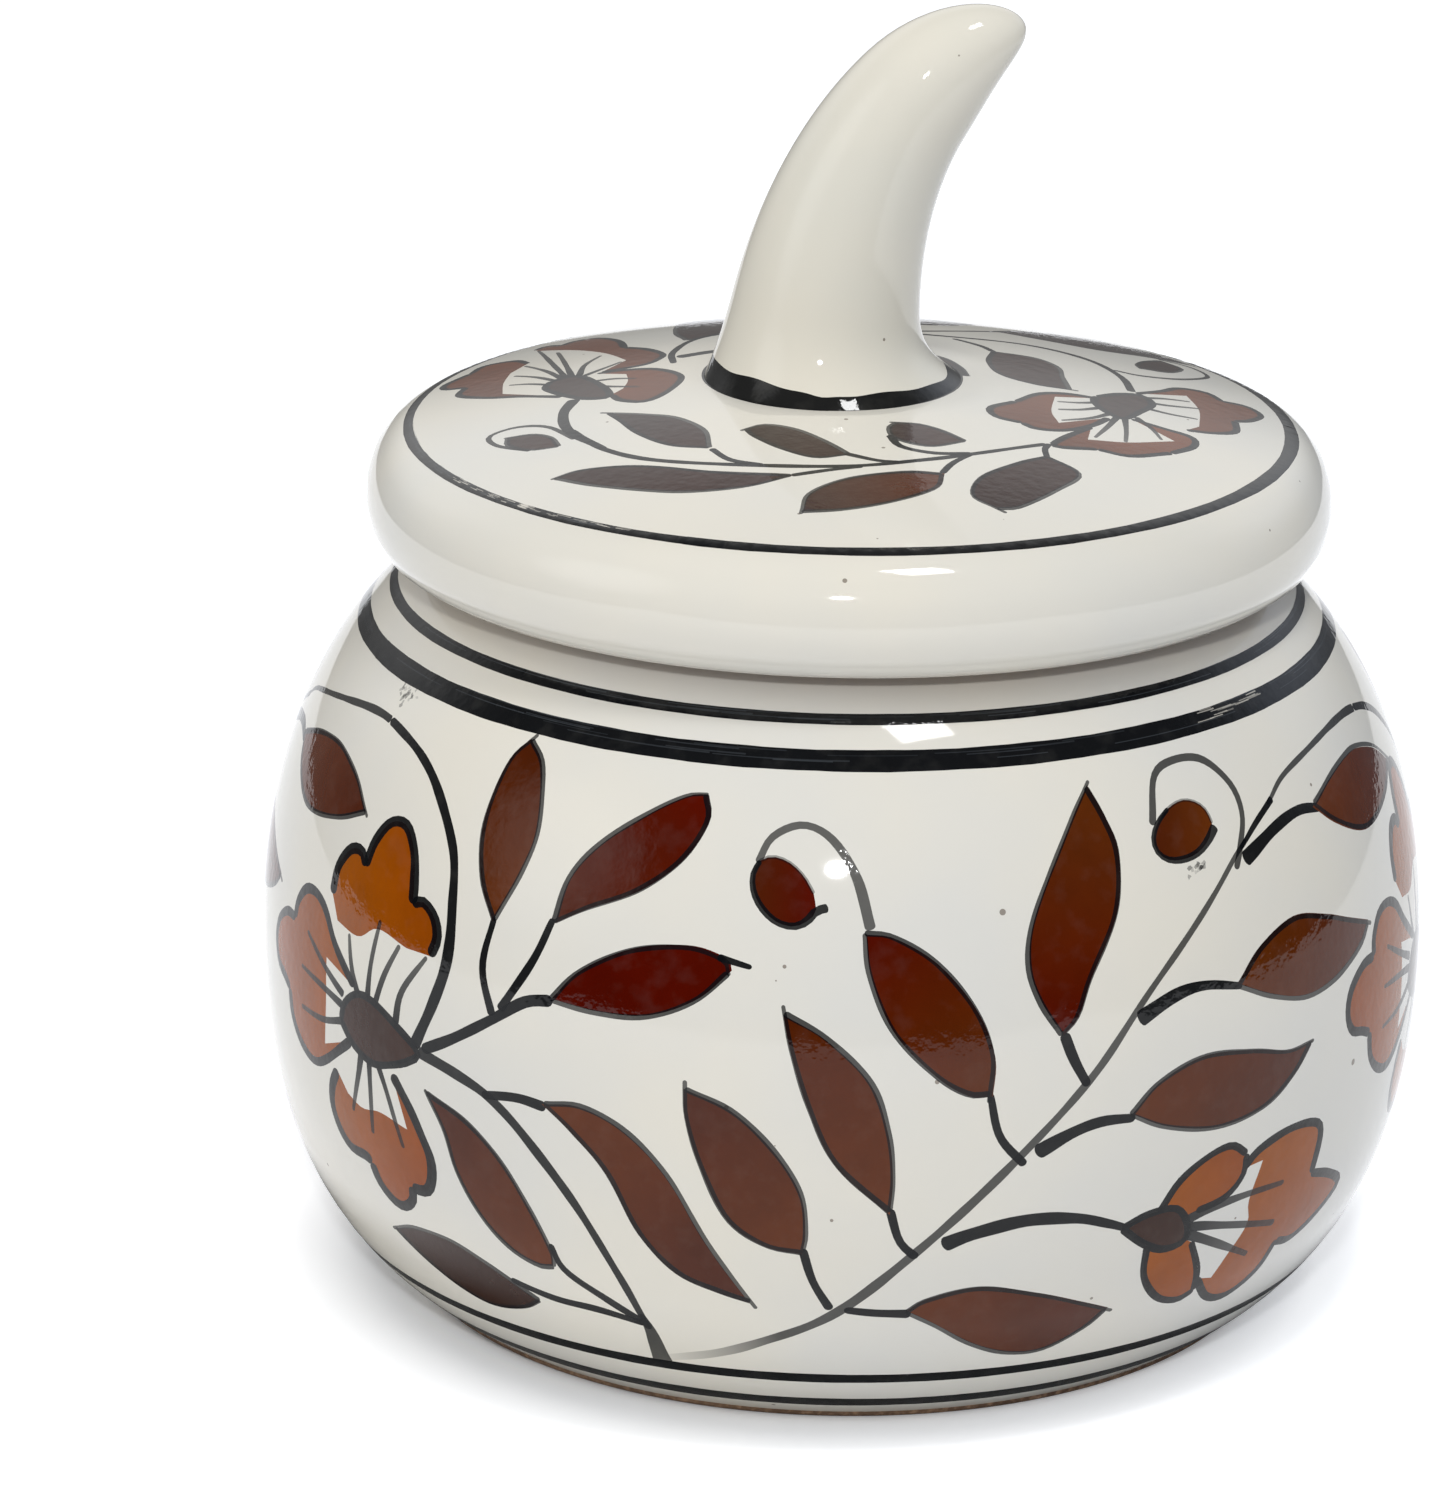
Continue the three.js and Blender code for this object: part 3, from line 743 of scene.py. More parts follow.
def lid_back(canvas):
    """The vine on the far side of the horn."""
    leaf = canvas.leaf
    stem = canvas.stem
    stem([(31, 2.5), (30, 9), (26.5, 16), (20, 20.5), (10.5, 21.4), (0, 23), (-10, 23.5), (-17, 20),
         (-19.8, 12), (-19.6, 6)], 1.1, 0.9)
    stem([(29.3, 12), (32.5, 11.5), (37, 14), (40.3, 19.5), (38.6, 24.4), (35, 25.8)], 0.8, 0.7, 0.95)
    leaf((35.2, 24.8), (32.5, 16), [(33.2, 21.5), (32.2, 18)], [(37.4, 21.5), (35.8, 17)])
    stem([(16, 13.4), (14.5, 16.5), (11.5, 20)], 0.9, 0.9)
    leaf((16, 13.5), (24, -0.8), [(15.3, 8), (16.5, 2.5), (20, -0.3)], [(20.5, 12.5), (23, 9), (23.4, 4)])
    stem([(4, 22.3), (11, 26), (17, 30)], 1.0, 1.0)
    leaf((16.5, 30), (38.8, 26.6), [(21, 34.5), (28, 35), (34.5, 31)], [(22, 26.6), (28, 24.6), (33.5, 26)])
    leaf((1.5, 30), (14, 36.5), [(2.5, 36), (8, 40.5)], [(6, 30.5), (11, 32.5)])
    stem([(-19.3, 9), (-14.5, 11), (-9, 12)], 1.9, 1.5)
    leaf((-9.5, 12.2), (3.5, 16.8), [(-6.5, 16), (-1.5, 18)], [(-5, 13.2), (0, 14.2)])
    leaf((-18.5, 19), (-15, 43.4), [(-20, 26), (-19.5, 37)], [(-14.5, 24), (-13, 36)])
    leaf((5, 13), (12.8, 1.3), [(6, 8), (9, 2.5)], [(10, 9), (12, 5)])
    leaf((-5, 25), (-8, 45), [(-9, 31), (-11, 40)], [(-1, 31), (-3, 40)])


def lid_flowers(canvas):
    """The two flowers at the sides of the lid."""
    canvas.petal(
        [[(-36.3, 16.3), (-38, 19.8), (-41.3, 20.2), (-42.7, 16.5)],
         [(-42.7, 16.5), (-45.3, 12.6), (-45.2, 10), (-42.8, 8.5)],
         [(-42.8, 8.5), (-43.3, 5), (-40, 1.5), (-36, -0.6), (-31.5, -3.3)]],
        [(-38.3, 2), (-38.5, 7), (-38, 12)], 0.85)
    canvas.petal(
        [[(-36, 26), (-34.8, 28.4), (-33, 26.6)],
         [(-33, 26.6), (-31.5, 29.4), (-29, 29.2), (-26.5, 24), (-25.5, 18)],
         [(-25.5, 18), (-23, 15.5), (-21, 11.5), (-21.3, 9), (-23, 6.6), (-27.5, 5.3)]],
        [(-25, 10), (-27.5, 15.5), (-31, 20.5), (-35.6, 25)], 0.85)
    canvas.petal(
        [[(-28, 4.8), (-25, 5), (-21.5, 4), (-18.6, 0), (-19.5, -5), (-22, -8.6), (-24.8, -7.5), (-26, -5)]],
        [(-24.8, -3), (-24.4, 0), (-24.7, 3)], 0.85)
    canvas.filaments(
        [[(-32, 5), (-34, 10), (-36.6, 15)], [(-32.5, 4), (-35, 7.5), (-37.5, 10)],
         [(-33, 2.5), (-35.5, 4.5), (-37.8, 5.6)], [(-31.5, 5), (-33.5, 14), (-35.6, 25)],
         [(-30.8, 5), (-32, 13), (-33.2, 21)], [(-30, 5), (-29.6, 10), (-28, 14.5)],
         [(-29.5, 4.5), (-27, 7.5), (-25.5, 9.5)], [(-28.2, 1.5), (-26, 1.5), (-23.5, 0.6)],
         [(-27.5, -1), (-25.5, -2), (-23, -3)]], 0.8)
    canvas.pod(
        [(-33, 4.2), (-30.3, 5), (-28, 1), (-26.4, -3.5), (-26.5, -5.8), (-29.5, -4.8), (-32.5, -1),
         (-33.6, 1.5)])
    canvas.petal(
        [[(31.5, 2), (34.5, 5.5), (36.5, 8.5), (39.5, 9.3), (41.2, 6.6)],
         [(41.2, 6.6), (44, 6.8), (45.4, 4), (44, 0.5), (42.2, -1.3)],
         [(42.2, -1.3), (42, -5.5), (39.5, -7.8), (36.5, -8.8)]],
        [(38, -6.5), (38.3, 0), (37.2, 5.5)], 0.85)
    canvas.petal(
        [[(27, -2.8), (23.5, -2.7), (20.5, -4.2), (18, -8)],
         [(18, -8), (15.2, -11), (15.8, -13.8), (18.5, -14.9)],
         [(18.5, -14.9), (20, -16.2), (23, -15.7), (26, -13), (28, -9.5)]],
        [(22.5, -13.5), (21.8, -10), (22.3, -4.5)], 0.85)
    canvas.petal(
        [[(30.5, -8.5), (34, -9.8), (37, -11), (37, -14), (34.5, -17.4)],
         [(34.5, -17.4), (30, -20.4), (26.5, -20)],
         [(26.5, -20), (22, -20.8), (22.6, -18.5), (26, -13.5)]],
        [(25.5, -17.5), (30, -16.4), (35, -13.4)], 0.85)
    canvas.filaments(
        [[(32, 0.5), (34.5, 2), (37.5, 3)], [(32.5, -1), (35, -0.6), (38.5, 0.8)],
         [(32.5, -3.5), (35, -4), (38, -3.8)], [(27.5, -4), (25, -5.5), (22.5, -6.2)],
         [(27.5, -6), (25, -8), (22.5, -9)], [(28.5, -7.5), (26, -10.5), (22.8, -12.6)],
         [(31, -7.5), (32.6, -10.5), (33.6, -13.8)], [(29.8, -8.5), (29.8, -13), (29.6, -16.5)],
         [(29, -8.5), (27.8, -12.5), (26.3, -16.6)]], 0.8)
    canvas.pod(
        [(27, -2), (29.5, 0.5), (32, 1.5), (33.1, -1.5), (31.5, -5.5), (29.6, -8.8), (27.6, -7),
         (26.6, -4.2)])


def circle(centre_x, radius, start):
    """A turn about a point on the X axis, a little more than once round."""
    angles = np.radians(np.linspace(start, start + BAND_TURN, CIRCLE_POINTS))
    return np.column_stack((centre_x + radius * np.cos(angles), radius * np.sin(angles)))


def lid_canvas(top):
    """The pattern on the lid's flattened top: the vine, the ring on the roll, the horn's edge, and an ochre
    line where the glaze ends at the seat.
    """
    crest = int(np.argmax(top.points[:, 0]))

    def on_top(x, y):
        radius = max(math.hypot(x, y), TINY)
        distance = np.interp(radius, top.points[:crest, 0], top.along[:crest])
        return (x * distance / radius, y * distance / radius)

    canvas = Canvas(on_top, LID_RADIUS * 2, LID_SEED)
    canvas.leaf_paints = (LID_LEAF, LID_LEAF_DARK)
    canvas.petal_paints = (LID_PETAL, LID_PETAL_DARK)
    lid_vine(canvas)
    lid_back(canvas)
    lid_flowers(canvas)
    ring = circle(0, on_top(LID_RING_RADIUS, 0)[0], LID_RING_START)
    for first, end, start_width, end_width in LID_RING_PULLS:
        canvas.stroke(ring[first:end], start_width, end_width, shake=0.04)
    for first, end, marks, paint, longest in LID_RING_DRY:
        canvas.dry_and_sheen_streaks(ring[first:end], LID_RING_DRY_WIDTH, marks, paint, longest)
    canvas.stroke(circle(HORN_FOOT_X, HORN_FOOT_RADIUS, -97), 0.4, 0.6)
    seat_line = circle(0, top.along[-1] - SEAT_LINE_INSET, 40)
    canvas.stroke(seat_line, SEAT_LINE_WIDTH, SEAT_LINE_WIDTH, 0.6, colour=OCHRE)
    return canvas


# Meshes

class Shell:
    """Collects one piece: its places, normals and bake map, and the paint and material of its faces."""

    def __init__(self):
        self.places = []
        self.normals = []
        self.maps = []
        self.faces = []
        self.paints = []
        self.materials = []

    def add(self, places, normals, maps, faces, material, paints=None):
        first = len(self.places)
        self.places.extend(places * MM)
        self.normals.extend(normals)
        self.maps.extend(maps)
        self.faces.extend(tuple(first + corner for corner in face) for face in faces)
        corners = sum(len(face) for face in faces)
        self.paints.extend(paints or [NO_PAINT] * corners)
        self.materials.extend([material] * len(faces))

    def turned(self, points, material, band):
        """A turned run of the profile in plain glaze or clay, with its own band of the bake map."""
        run = Profile(points)
        angles = np.radians(np.linspace(-180, 180, TURN_STEPS + 1))
        count = len(run.along)
        places, normals = run.lift(np.repeat(run.along, len(angles)), np.tile(angles, count))
        across = np.tile(np.linspace(*MAP_SIDES, len(angles)), count)
        up = np.repeat(lerp(*band, run.along / run.along[-1]), len(angles))
        faces = grid_faces(count, len(angles))
        self.add(places, normals, np.column_stack((across, up)), faces, material)

    def build(self, name, materials):
        mesh = bpy.data.meshes.new(name)
        mesh.from_pydata([tuple(place) for place in self.places], [], self.faces)
        bake = mesh.uv_layers.new(name="OFBake")
        corners = [corner for face in self.faces for corner in face]
        bake.data.foreach_set("uv", np.array(self.maps)[corners].ravel())
        paint = mesh.color_attributes.new("paint", "FLOAT_COLOR", "CORNER")
        paint.data.foreach_set("color", np.array(self.paints, float).ravel())
        for material in materials:
            mesh.materials.append(material)
        mesh.polygons.foreach_set("material_index", self.materials)
        mesh.polygons.foreach_set("use_smooth", [True] * len(self.faces))
        mesh.normals_split_custom_set_from_vertices([tuple(normal) for normal in self.normals])
        mesh.update()
        piece = bpy.data.objects.new(name, mesh)
        bpy.context.scene.collection.objects.link(piece)
        return piece


def grid_faces(rows, columns):
    faces = []
    for row in range(rows - 1):
        for column in range(columns - 1):
            low = row * columns + column
            faces.append((low, low + 1, low + columns + 1, low + columns))
    return faces


def jar_wall(shell, wall):
    """The painted wall: the unrolled sheet cut along the brushwork and rolled up again."""
    half = math.pi * SHEET_RADIUS
    height = wall.along[-1]
    across = np.linspace(-half, half, TURN_STEPS + 1)
    up = np.linspace(0, height, round(height / SHEET_STEP) + 1)
    border = [(x, 0) for x in across] + [(half, y) for y in up[1:-1]]
    border += [(x, height) for x in across[::-1]] + [(-half, y) for y in up[-2:0:-1]]
    grid = [(x, y) for x in across[1:-1] for y in up[1:-1]]
    sheet, triangles, paints = painted(jar_canvas(wall), border, grid)
    places, normals = wall.lift(sheet[:, 1], sheet[:, 0] / SHEET_RADIUS - math.pi / 2)
    map_across = lerp(*MAP_SIDES, sheet[:, 0] / (2 * half) + 0.5)
    map_up = lerp(*WALL_MAP, sheet[:, 1] / height)
    shell.add(places, normals, np.column_stack((map_across, map_up)), triangles, GLAZE_SLOT, paints)


def make_jar(glaze, clay):
    """The pot: its painted wall, then plain runs with their material slot and their band of the bake map."""
    shell = Shell()
    lower, upper = wall_curves(WALL_STEPS)
    jar_wall(shell, Profile(np.vstack((lower, upper[1:]))))
    ring_inner = FOOT_RADIUS - FOOT_ARRIS - FOOT_RING_WIDTH
    recess = (ring_inner - FOOT_RECESS, FOOT_RECESS)
    foot = arris(FOOT_RADIUS - FOOT_ARRIS, FOOT_ARRIS, FOOT_ARRIS, -90, 0)
    rim_z = RIM_HEIGHT - RIM_ARRIS
    rim_outer = RIM_RADIUS - RIM_ARRIS
    rim_inner = MOUTH_RADIUS + RIM_ARRIS
    runs = (
        ([(0, FOOT_RECESS), recess], CLAY_SLOT, (0.62, 0.66)),
        ([recess, (ring_inner, 0)], CLAY_SLOT, (0.67, 0.68)),
        ([(ring_inner, 0), foot[0]], CLAY_SLOT, (0.69, 0.71)),
        # The foot's round edge is bare clay, and its dark brown is also painted shade: the thin contact
        # shadow under the foot
        (foot, CLAY_SLOT, (0.72, 0.73)),
        (arris(rim_outer, rim_z, RIM_ARRIS, 0, 90), GLAZE_SLOT, (0.74, 0.75)),
        ([(rim_outer, RIM_HEIGHT), (rim_inner, RIM_HEIGHT)], CLAY_SLOT, (0.76, 0.78)),
        (arris(rim_inner, rim_z, RIM_ARRIS, 90, 180), GLAZE_SLOT, (0.79, 0.80)),
        (inner_wall(), GLAZE_SLOT, (0.82, 0.99)),
    )
    for points, slot, band in runs:
        shell.turned(points, slot, band)
    return shell.build("jar_pot", [glaze, clay])


def make_lid(glaze, clay):
    """The lid: its painted top down to the seat, the seat in bare clay, and the flange with the hollow."""
    shell = Shell()
    top = Profile(lid_top())
    reach = top.along[-1]
    turns = np.radians(np.linspace(-180, 180, TURN_STEPS + 1)[:-1])
    border = [(reach * math.cos(turn), reach * math.sin(turn)) for turn in turns]
    grid = [(0, 0)]
    for ring in np.linspace(reach, 0, round(reach / SHEET_STEP) + 1)[1:-1]:
        count = max(8, round(math.tau * ring / SHEET_STEP))
        turns = [step * math.tau / count for step in range(count)]
        grid += [(ring * math.cos(turn), ring * math.sin(turn)) for turn in turns]
    sheet, triangles, paints = painted(lid_canvas(top), border, grid)
    distance = np.hypot(sheet[:, 0], sheet[:, 1])
    outward = Profile(top.points)
    outward.normals = -outward.normals
    places, normals = outward.lift(distance, np.arctan2(sheet[:, 1], sheet[:, 0]))
    maps = LID_MAP_CENTRE + LID_MAP_REACH * sheet / reach
    shell.add(places, normals, maps, triangles, GLAZE_SLOT, paints)
    seat, flange = lid_underside()
    shell.turned(seat[::-1], CLAY_SLOT, (0.68, 0.72))
    shell.turned(flange[::-1], GLAZE_SLOT, (0.74, 0.99))
    return shell.build("lid_cover", [glaze, clay])


def horn_centre_line():
    reach = (HORN_REACH + HORN_SET_BACK) * HORN_OVERHANG - HORN_SET_BACK
    rise = HORN_RISE - HORN_INSET
    points = [(-HORN_SET_BACK, 0), (-HORN_SET_BACK, rise * HORN_UPRIGHT),
              (reach, rise * HORN_BEND), (HORN_REACH, rise)]
    return bezier(points, HORN_LINE_STEPS)


def horn_stops(length, band):
    """Distances along the horn: the painted band, the shaft and the rounded tip without its point."""
    painted_rows = np.linspace(0, band, HORN_BAND_ROWS + 1)
    shaft = np.linspace(band, length - HORN_TIP_LENGTH, HORN_SHAFT_ROWS + 1)[1:]
    turn = np.radians(np.linspace(0, 90, HORN_TIP_ROWS + 1))[1:-1]
    tip = length - HORN_TIP_LENGTH * (1 - np.sin(turn))
    return np.concatenate((painted_rows, shaft, tip))


def band_height(angle):
    """How far up the horn its black edge reaches: highest at the left, thin at the right, and lower at the
    front, a painted highlight.
    """
    left = 0.5 - 0.5 * math.cos(angle - math.radians(-40))
    # Painted highlight: the band dips at the front so that bare glaze shows there
    highlight_dip = math.exp(-((angle - math.radians(-93)) / math.radians(6)) ** 2)
    ripple = 0.15 * math.sin(5 * angle) + 0.08 * math.sin(11 * angle + 1)
    return (1.3 + 1.1 * left + ripple) * (1 - 0.2 * highlight_dip)


def horn_column(line, foot_height, angle):
    """One run of points up the horn at an angle about its bent line, the last of them the tip's point."""
    along = lengths(line)
    length = along[-1]
    direction = tangents(line)
    stops = horn_stops(length, band_height(angle))
    centre = resample(line, stops)
    lean, rise = [np.interp(stops, along, direction[:, axis]) for axis in (0, 1)]
    tip = np.clip((stops - (length - HORN_TIP_LENGTH)) / HORN_TIP_LENGTH, 0, 1)
    flare = np.clip(1 - stops / HORN_FLARE_HEIGHT, 0, 1) ** HORN_FLARE_POWER
    taper = lerp(HORN_ROOT_RADIUS, HORN_END_RADIUS, stops / length)
    radius = taper * np.sqrt(1 - tip ** 2) + HORN_FLARE * flare
    across = radius * math.cos(angle)
    x = centre[:, 0] + HORN_FOOT_SHIFT * flare + across * rise
    z = foot_height + centre[:, 1] - across * lean
    point = (HORN_REACH, 0, foot_height + line[-1][1])
    return np.vstack((np.column_stack((x, radius * math.sin(angle), z)), point))


def make_horn(glaze):
    """The horn: round sections along a bent line, with the brushed edge as rows of their own at the foot."""
    line = horn_centre_line()
    foot_height = lid_dome()[3](LAND_RADIUS)
    angles = np.radians(np.linspace(-180, 180, HORN_TURN_STEPS + 1))
    grid = np.array([horn_column(line, foot_height, angle) for angle in angles]).transpose(1, 0, 2)
    rows, count = grid.shape[:2]
    closed = np.concatenate((grid[:, -2:-1], grid, grid[:, 1:2]), axis=1)
    normals = np.cross(closed[:, 2:] - closed[:, :-2], np.gradient(grid, axis=0))
    lean, rise = tangents(line)[-1]
    normals[-1] = (lean, 0, rise)
    normals /= np.maximum(np.linalg.norm(normals, axis=2, keepdims=True), NEAR_ZERO)
    across, height = np.meshgrid(np.linspace(*MAP_SIDES, count), np.linspace(*MAP_SIDES, rows))
    maps = np.column_stack((across.ravel(), height.ravel()))
    faces = grid_faces(rows, count)
    ink = [(*INK, HEAVY_INK)] * 4
    bare = [NO_PAINT] * 4
    paints = [paint for face in faces for paint in (ink if face[0] // count < HORN_BAND_ROWS else bare)]
    shell = Shell()
    shell.add(grid.reshape(-1, 3), normals.reshape(-1, 3), maps, faces, GLAZE_SLOT, paints)
    return shell.build("horn_knob", [glaze])


# Materials

class Nodes:
    """Short calls for the node tree of a material or a world."""

    def __init__(self, owner, shader):
        owner.use_nodes = True
        self.tree = owner.node_tree
        self.shader = self.tree.nodes[shader]
        self.place = self.add("ShaderNodeTexCoord").outputs

    def add(self, kind, **settings):
        node = self.tree.nodes.new(kind)
        for key, value in settings.items():
            setattr(node, key, value)
        return node

    def feed(self, node, values):
        """Gives a node's inputs a number, a direction or a colour, or links another node's output."""
        for key, value in values.items():
            socket = node.inputs[key]
            if isinstance(value, bpy.types.NodeSocket):
                self.tree.links.new(value, socket)
            else:
                socket.default_value = (*value, 1) if socket.type == "RGBA" else value

    def noise(self, scale, detail, roughness=0.5):
        node = self.add("ShaderNodeTexNoise")
        self.feed(node, {"Vector": self.place["Object"], "Scale": scale, "Detail": detail,
                         "Roughness": roughness})
        return node.outputs["Fac"]

    def spread(self, source, low, high, start=0.3, end=0.7, curve="LINEAR"):
        """Maps a share between start and end to a value between low and high."""
        node = self.add("ShaderNodeMapRange", interpolation_type=curve)
        self.feed(node, {"Value": source, "From Min": start, "From Max": end, "To Min": low, "To Max": high})
        return node.outputs["Result"]

    def math(self, operation, first, second, kind="ShaderNodeMath"):
        node = self.add(kind, operation=operation)
        self.feed(node, {0: first, 1: second})
        return node.outputs["Value"]

    def mix(self, share, first, second, blend="MIX"):
        node = self.add("ShaderNodeMix", data_type="RGBA", blend_type=blend)
        self.feed(node, {0: share, 6: first, 7: second})
        return node.outputs[2]

    def bump(self, height, strength, distance):
        node = self.add("ShaderNodeBump")
        self.feed(node, {"Height": height, "Strength": strength, "Distance": distance})
        return node

    def rays(self):
        """Whether a ray comes from the camera, and whether a surface mirrors it or lets it through."""
        path = self.add("ShaderNodeLightPath").outputs
        mirrored = self.math("MAXIMUM", path["Is Glossy Ray"], path["Is Transmission Ray"])
        return path["Is Camera Ray"], mirrored


def glaze_material(name, warm, cool, gloss, specks):
    """Cream glaze over brushed oxide: cloudy colour, iron specks, uneven paint and a rippled gloss."""
    material = bpy.data.materials.new(name)
    nodes = Nodes(material, "Principled BSDF")
    cloud = nodes.spread(nodes.noise(28, 3), 0, 1, 0.35, 0.65)
    glaze = nodes.mix(cloud, warm, cool)
    cells = nodes.add("ShaderNodeTexVoronoi")
    nodes.feed(cells, {"Vector": nodes.place["Object"], "Scale": specks})
    chosen = nodes.add("ShaderNodeSeparateColor")
    nodes.feed(chosen, {"Color": cells.outputs["Color"]})
    size = nodes.spread(chosen.outputs["Red"], 0, 0.07, 0.4, 1)
    speck = nodes.math("LESS_THAN", cells.outputs["Distance"], size)
    glaze = nodes.mix(nodes.math("MULTIPLY", speck, 0.7), glaze, linear(96, 78, 62))
    paint = nodes.add("ShaderNodeAttribute", attribute_name="paint")
    streak = nodes.spread(nodes.noise(110, 5, 0.6), 0.86, 1.12)
    tint = nodes.mix(1.0, paint.outputs["Color"], streak, "MULTIPLY")
    worn = nodes.spread(nodes.noise(420, 3), 0.99, 1, 0.3, 0.5)
    cover = nodes.math("MULTIPLY", paint.outputs["Alpha"], worn)
    ripple = nodes.bump(nodes.noise(70, 1), 0.05, 0.001)
    grain = nodes.bump(nodes.math("MULTIPLY", nodes.noise(900, 2), paint.outputs["Alpha"]), 0.18, 0.0002)
    nodes.feed(grain, {"Normal": ripple.outputs["Normal"]})
    nodes.feed(nodes.shader, {"Base Color": nodes.mix(cover, glaze, tint), "Specular IOR Level": gloss,
                              "Roughness": nodes.spread(nodes.noise(75, 2), 0.035, 0.075),
                              "Normal": grain.outputs["Normal"]})
    return material


def clay_material():
    """Bare fired clay on the foot, the rim and the lid's seat: brown, matt and slightly gritty. On the
    foot's edge it is also painted shade.
    """
    material = bpy.data.materials.new("bare_clay")
    nodes = Nodes(material, "Principled BSDF")
    cloud = nodes.spread(nodes.noise(60, 4), 0, 1)
    grit = nodes.spread(nodes.noise(1400, 2), 0, 1, 0.45, 0.75)
    body = nodes.mix(cloud, linear(112, 86, 64), linear(88, 66, 50))
    grain = nodes.bump(nodes.noise(1100, 3), 0.3, 0.0002)
    nodes.feed(nodes.shader, {"Base Color": nodes.mix(grit, body, linear(146, 116, 90)),
                              "Roughness": nodes.spread(nodes.noise(300, 2), 0.75, 0.9),
                              "Normal": grain.outputs["Normal"]})
    return material


# Stage

# Camera, in metres, millimetres for lens and sensor, and radians
CAMERA_PLACE = (0, -0.63704, 0.27274)
CAMERA_LENS = 144.0
SENSOR_WIDTH = 36
CAMERA_YAW = -0.0219
CAMERA_PITCH = 0.3238
CAMERA_ROLL = 0.0111

# The paper: its size in metres, how much light of its own lifts it towards white far from the jar and close
# to it, and the distances between which the shade about the foot ends, as the camera sees it and as mirrored
FLOOR_REACH = 0.45
FLOOR_BACK = 0.9
FLOOR_LIFT = 0.49
CONTACT_LIFT = 0.02
SHADE_CENTRE = (-0.004, 0, 0)
SHADE_SEEN = (0.047, 0.059)
SHADE_MIRRORED = (0.058, 0.068)
WHITE = (1, 1, 1)
PAPER = (0.91, 0.925, 0.955)
PAPER_SHADE = (0.2, 0.2, 0.2)

# The tent's soft light: from the sides, from above, and its shares and tint at the front and the right
SIDE_LIGHT = 0.545
TOP_LIGHT = 0.64
FRONT_SHARE = 0.8
RIGHT_SHARE = 0.62
COOL = (0.86, 0.95, 1.12)

# What the glaze mirrors: a dim room, a white back that fades low down and high up, and a window
DIM_ROOM = 0.06
BACK_LOW_SHARE = 0.2
BACK_HIGH_SHARE = 0.1
WINDOW = (-0.82, -0.44, 0.37)
WINDOW_LIGHT = 1.3

# How far a direction faces a side, from where that side's value starts to where it is full
ANY_RISE = (0, 1)
RIGHT_TURN = (0, 0.9)
FRONT_TURN = (0.45, 0.9)
BACK_TURN = (0.1, 0.6)
BACK_LOW = (0, 0.42)
BACK_HIGH = (0.5, 0.85)
WINDOW_TURN = (0.93, 1)

# The point that the lamps face, in metres
LIGHT_AIM = (0, 0, 0.07)


def make_camera():
    """The photograph's view: a long lens a little above the jar, looking down on the lid."""
    yaw = Matrix.Rotation(-CAMERA_YAW, 4, "Z")
    pitch = Matrix.Rotation(math.pi / 2 - CAMERA_PITCH, 4, "X")
    roll = Matrix.Rotation(CAMERA_ROLL, 4, "Z")
    data = bpy.data.cameras.new("camera")
    data.lens = CAMERA_LENS
    data.sensor_width = SENSOR_WIDTH
    data.clip_end = 20
    camera = bpy.data.objects.new("camera", data)
    camera.matrix_world = Matrix.Translation(CAMERA_PLACE) @ yaw @ pitch @ roll
    bpy.context.scene.collection.objects.link(camera)
    bpy.context.scene.camera = camera


def make_floor():
    """A sheet of pale paper under the jar, longer behind it. The camera sees it lifted to white, less so
    close to the foot, for its shade, and the glaze mirrors it dark there.
    """
    mesh = bpy.data.meshes.new("floor")
    corners = [(-FLOOR_REACH, -FLOOR_REACH, 0), (FLOOR_REACH, -FLOOR_REACH, 0),
               (FLOOR_REACH, FLOOR_BACK, 0), (-FLOOR_REACH, FLOOR_BACK, 0)]
    mesh.from_pydata(corners, [], [(0, 1, 2, 3)])
    paper = bpy.data.materials.new("floor_paper")
    nodes = Nodes(paper, "Principled BSDF")
    seen, mirrored = nodes.rays()
    away = nodes.math("DISTANCE", nodes.place["Object"], SHADE_CENTRE, "ShaderNodeVectorMath")
    seen_lift = nodes.math("MULTIPLY", seen, nodes.spread(away, CONTACT_LIFT, FLOOR_LIFT, *SHADE_SEEN))
    mirrored_lift = nodes.math("MULTIPLY", mirrored, nodes.spread(away, 0, FLOOR_LIFT, *SHADE_MIRRORED))
    shaded = nodes.math("MULTIPLY", mirrored, nodes.spread(away, 1, 0, *SHADE_MIRRORED))
    nodes.feed(nodes.shader, {"Base Color": nodes.mix(shaded, PAPER, PAPER_SHADE), "Roughness": 0.9,
                              "Specular IOR Level": 0.1, "Emission Color": WHITE,
                              "Emission Strength": nodes.math("ADD", seen_lift, mirrored_lift)})
    mesh.materials.append(paper)
    floor = bpy.data.objects.new("floor", mesh)
    bpy.context.scene.collection.objects.link(floor)


def area_light(name, shape, azimuth, elevation, distance, width, height, energy):
    """A soft light that faces the jar's middle. Azimuth 0 is the front, and 90 is the right."""
    level = math.cos(math.radians(elevation))
    turn = math.radians(azimuth)
    away = Vector((math.sin(turn) * level, -math.cos(turn) * level, math.sin(math.radians(elevation))))
    data = bpy.data.lights.new(name, "AREA")
    data.energy = energy
    data.shape = shape
    data.size = width
    data.size_y = height
    light = bpy.data.objects.new(name, data)
    light.location = Vector(LIGHT_AIM) + away * distance
    light.rotation_euler = away.to_track_quat("Z", "Y").to_euler()
    bpy.context.scene.collection.objects.link(light)


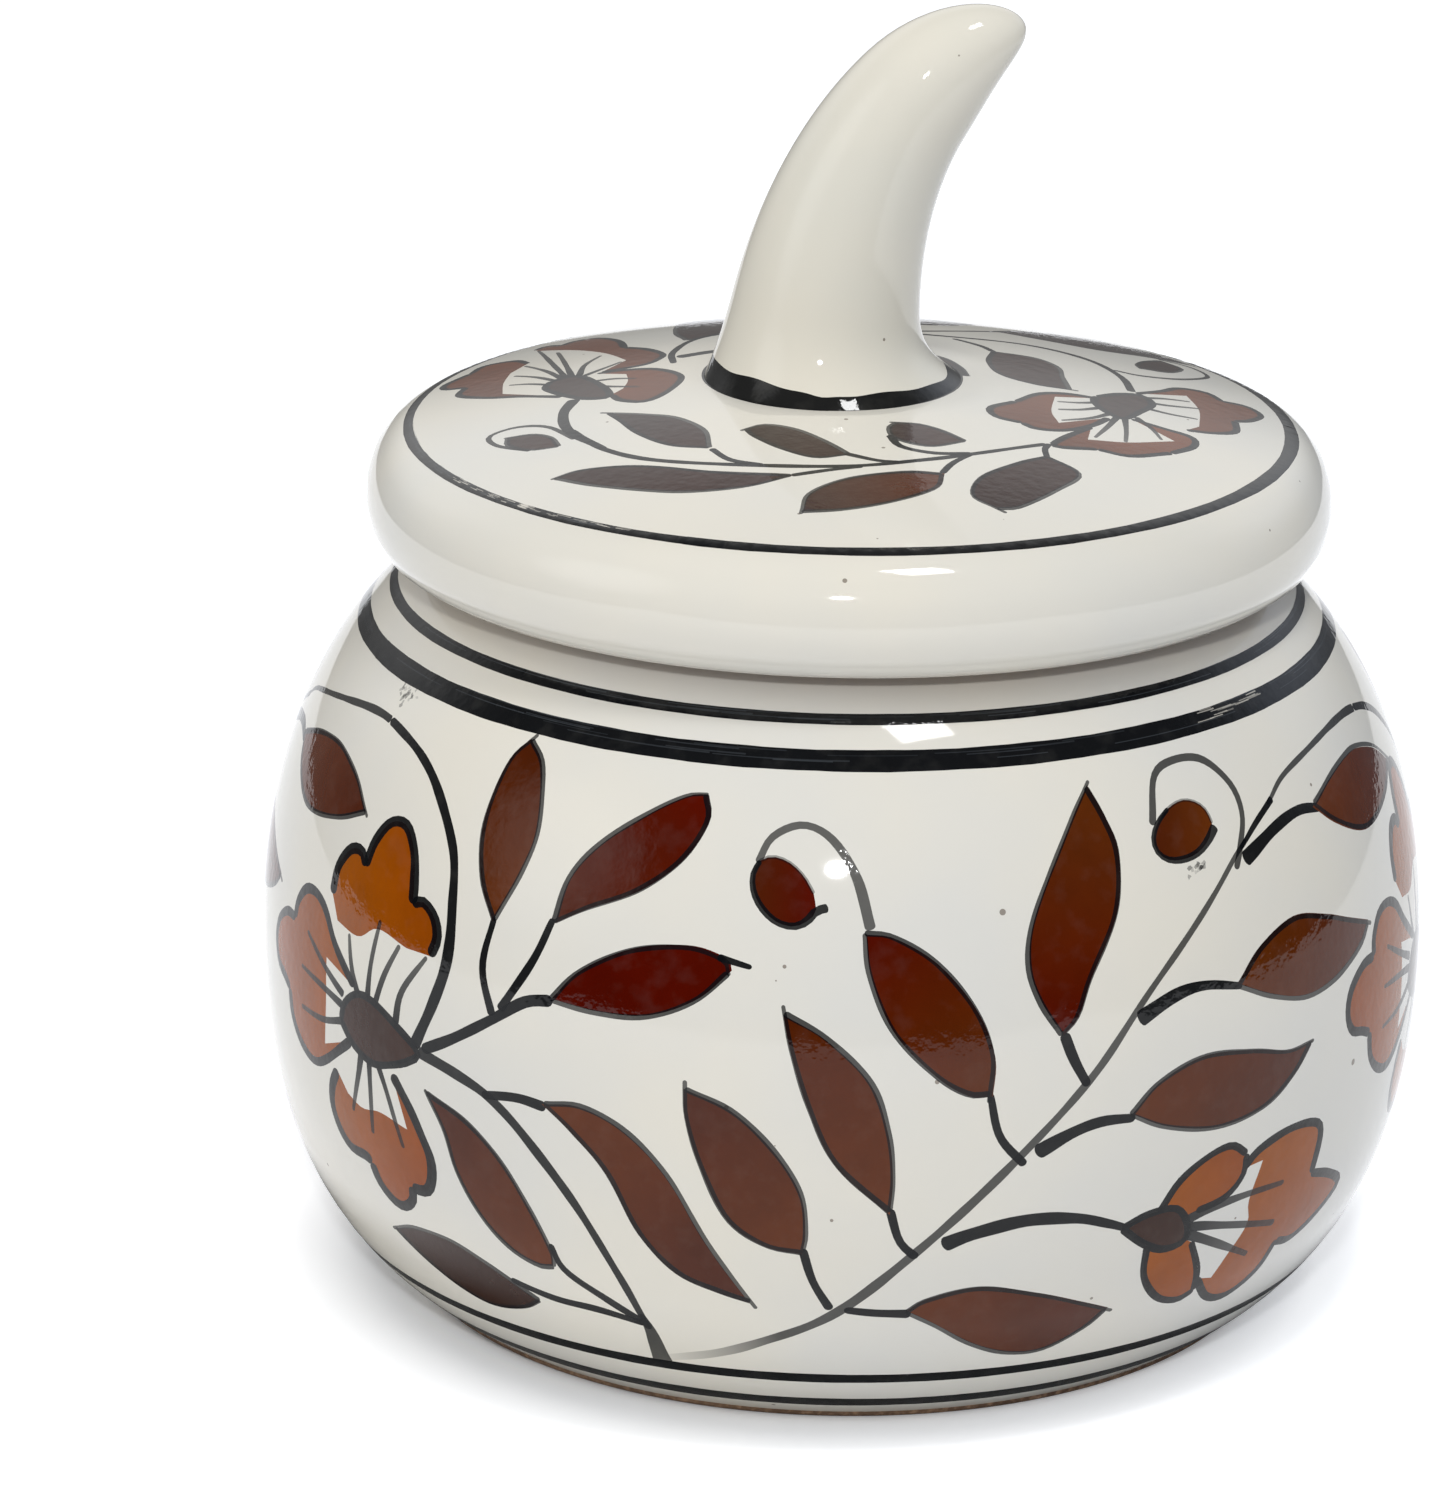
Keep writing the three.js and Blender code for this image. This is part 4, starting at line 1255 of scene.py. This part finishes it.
def make_world():
    """A light tent, brighter above, cool and dim at the right, with a soft window at the left front.
    The camera sees it plain white, and the glaze mirrors its white back and its window, not the dim room.
    """
    world = bpy.data.worlds.new("tent")
    nodes = Nodes(world, "Background")
    seen, mirrored = nodes.rays()

    def facing(towards, turn, low, high):
        """A value from low to high as a direction turns towards the given one."""
        share = nodes.math("DOT_PRODUCT", nodes.place["Generated"], towards, "ShaderNodeVectorMath")
        return nodes.spread(share, low, high, *turn, "SMOOTHSTEP")

    above = facing((0, 0, 1), ANY_RISE, SIDE_LIGHT, TOP_LIGHT)
    right = facing((1, 0, 0), RIGHT_TURN, 1, RIGHT_SHARE)
    front = facing((0, -1, 0.1), FRONT_TURN, 1, FRONT_SHARE)
    soft = nodes.math("MULTIPLY", nodes.math("MULTIPLY", above, right), front)
    behind = facing((0, 1, 0), BACK_TURN, DIM_ROOM, 1)
    low = facing((0, 0, 1), BACK_LOW, BACK_LOW_SHARE, 1)
    high = facing((0, 0, 1), BACK_HIGH, 1, BACK_HIGH_SHARE)
    back = nodes.math("MULTIPLY", behind, nodes.math("MULTIPLY", low, high))
    window = facing(WINDOW, WINDOW_TURN, 0, WINDOW_LIGHT)
    lit = nodes.math("ADD", nodes.spread(mirrored, soft, back, 0, 1), window)
    plain = facing((1, 0, 0), RIGHT_TURN, 1, 0)
    tint = nodes.mix(nodes.spread(seen, plain, 1, 0, 1), COOL, WHITE)
    nodes.feed(nodes.shader, {"Strength": nodes.spread(seen, lit, 1, 0, 1), "Color": tint})
    bpy.context.scene.world = world


def place_piece(piece, body, node):
    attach(piece, body)
    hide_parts(node)


clay = clay_material()
jar_glaze = glaze_material("jar_glaze", linear(226, 221, 208), linear(219, 217, 210),
                           gloss=0.22, specks=180)
lid_glaze = glaze_material("lid_glaze", linear(228, 223, 210), linear(221, 219, 211),
                           gloss=0.4, specks=240)
horn_glaze = glaze_material("horn_glaze", linear(229, 223, 208), linear(221, 218, 206),
                            gloss=0.32, specks=240)
place_piece(make_jar(jar_glaze, clay), "jar", "jar_body")
place_piece(make_lid(lid_glaze, clay), "lid", "lid")
place_piece(make_horn(horn_glaze), "lid", "horn_handle")

make_camera()
make_floor()
make_world()
area_light("overhead_strip", "RECTANGLE", azimuth=33, elevation=69.5, distance=0.9,
           width=0.14, height=0.15, energy=2.2)
area_light("front_lamp", "ELLIPSE", azimuth=-1, elevation=28.7, distance=1.1,
           width=0.07, height=0.07, energy=3.0)
bpy.context.scene.view_settings.view_transform = "Standard"
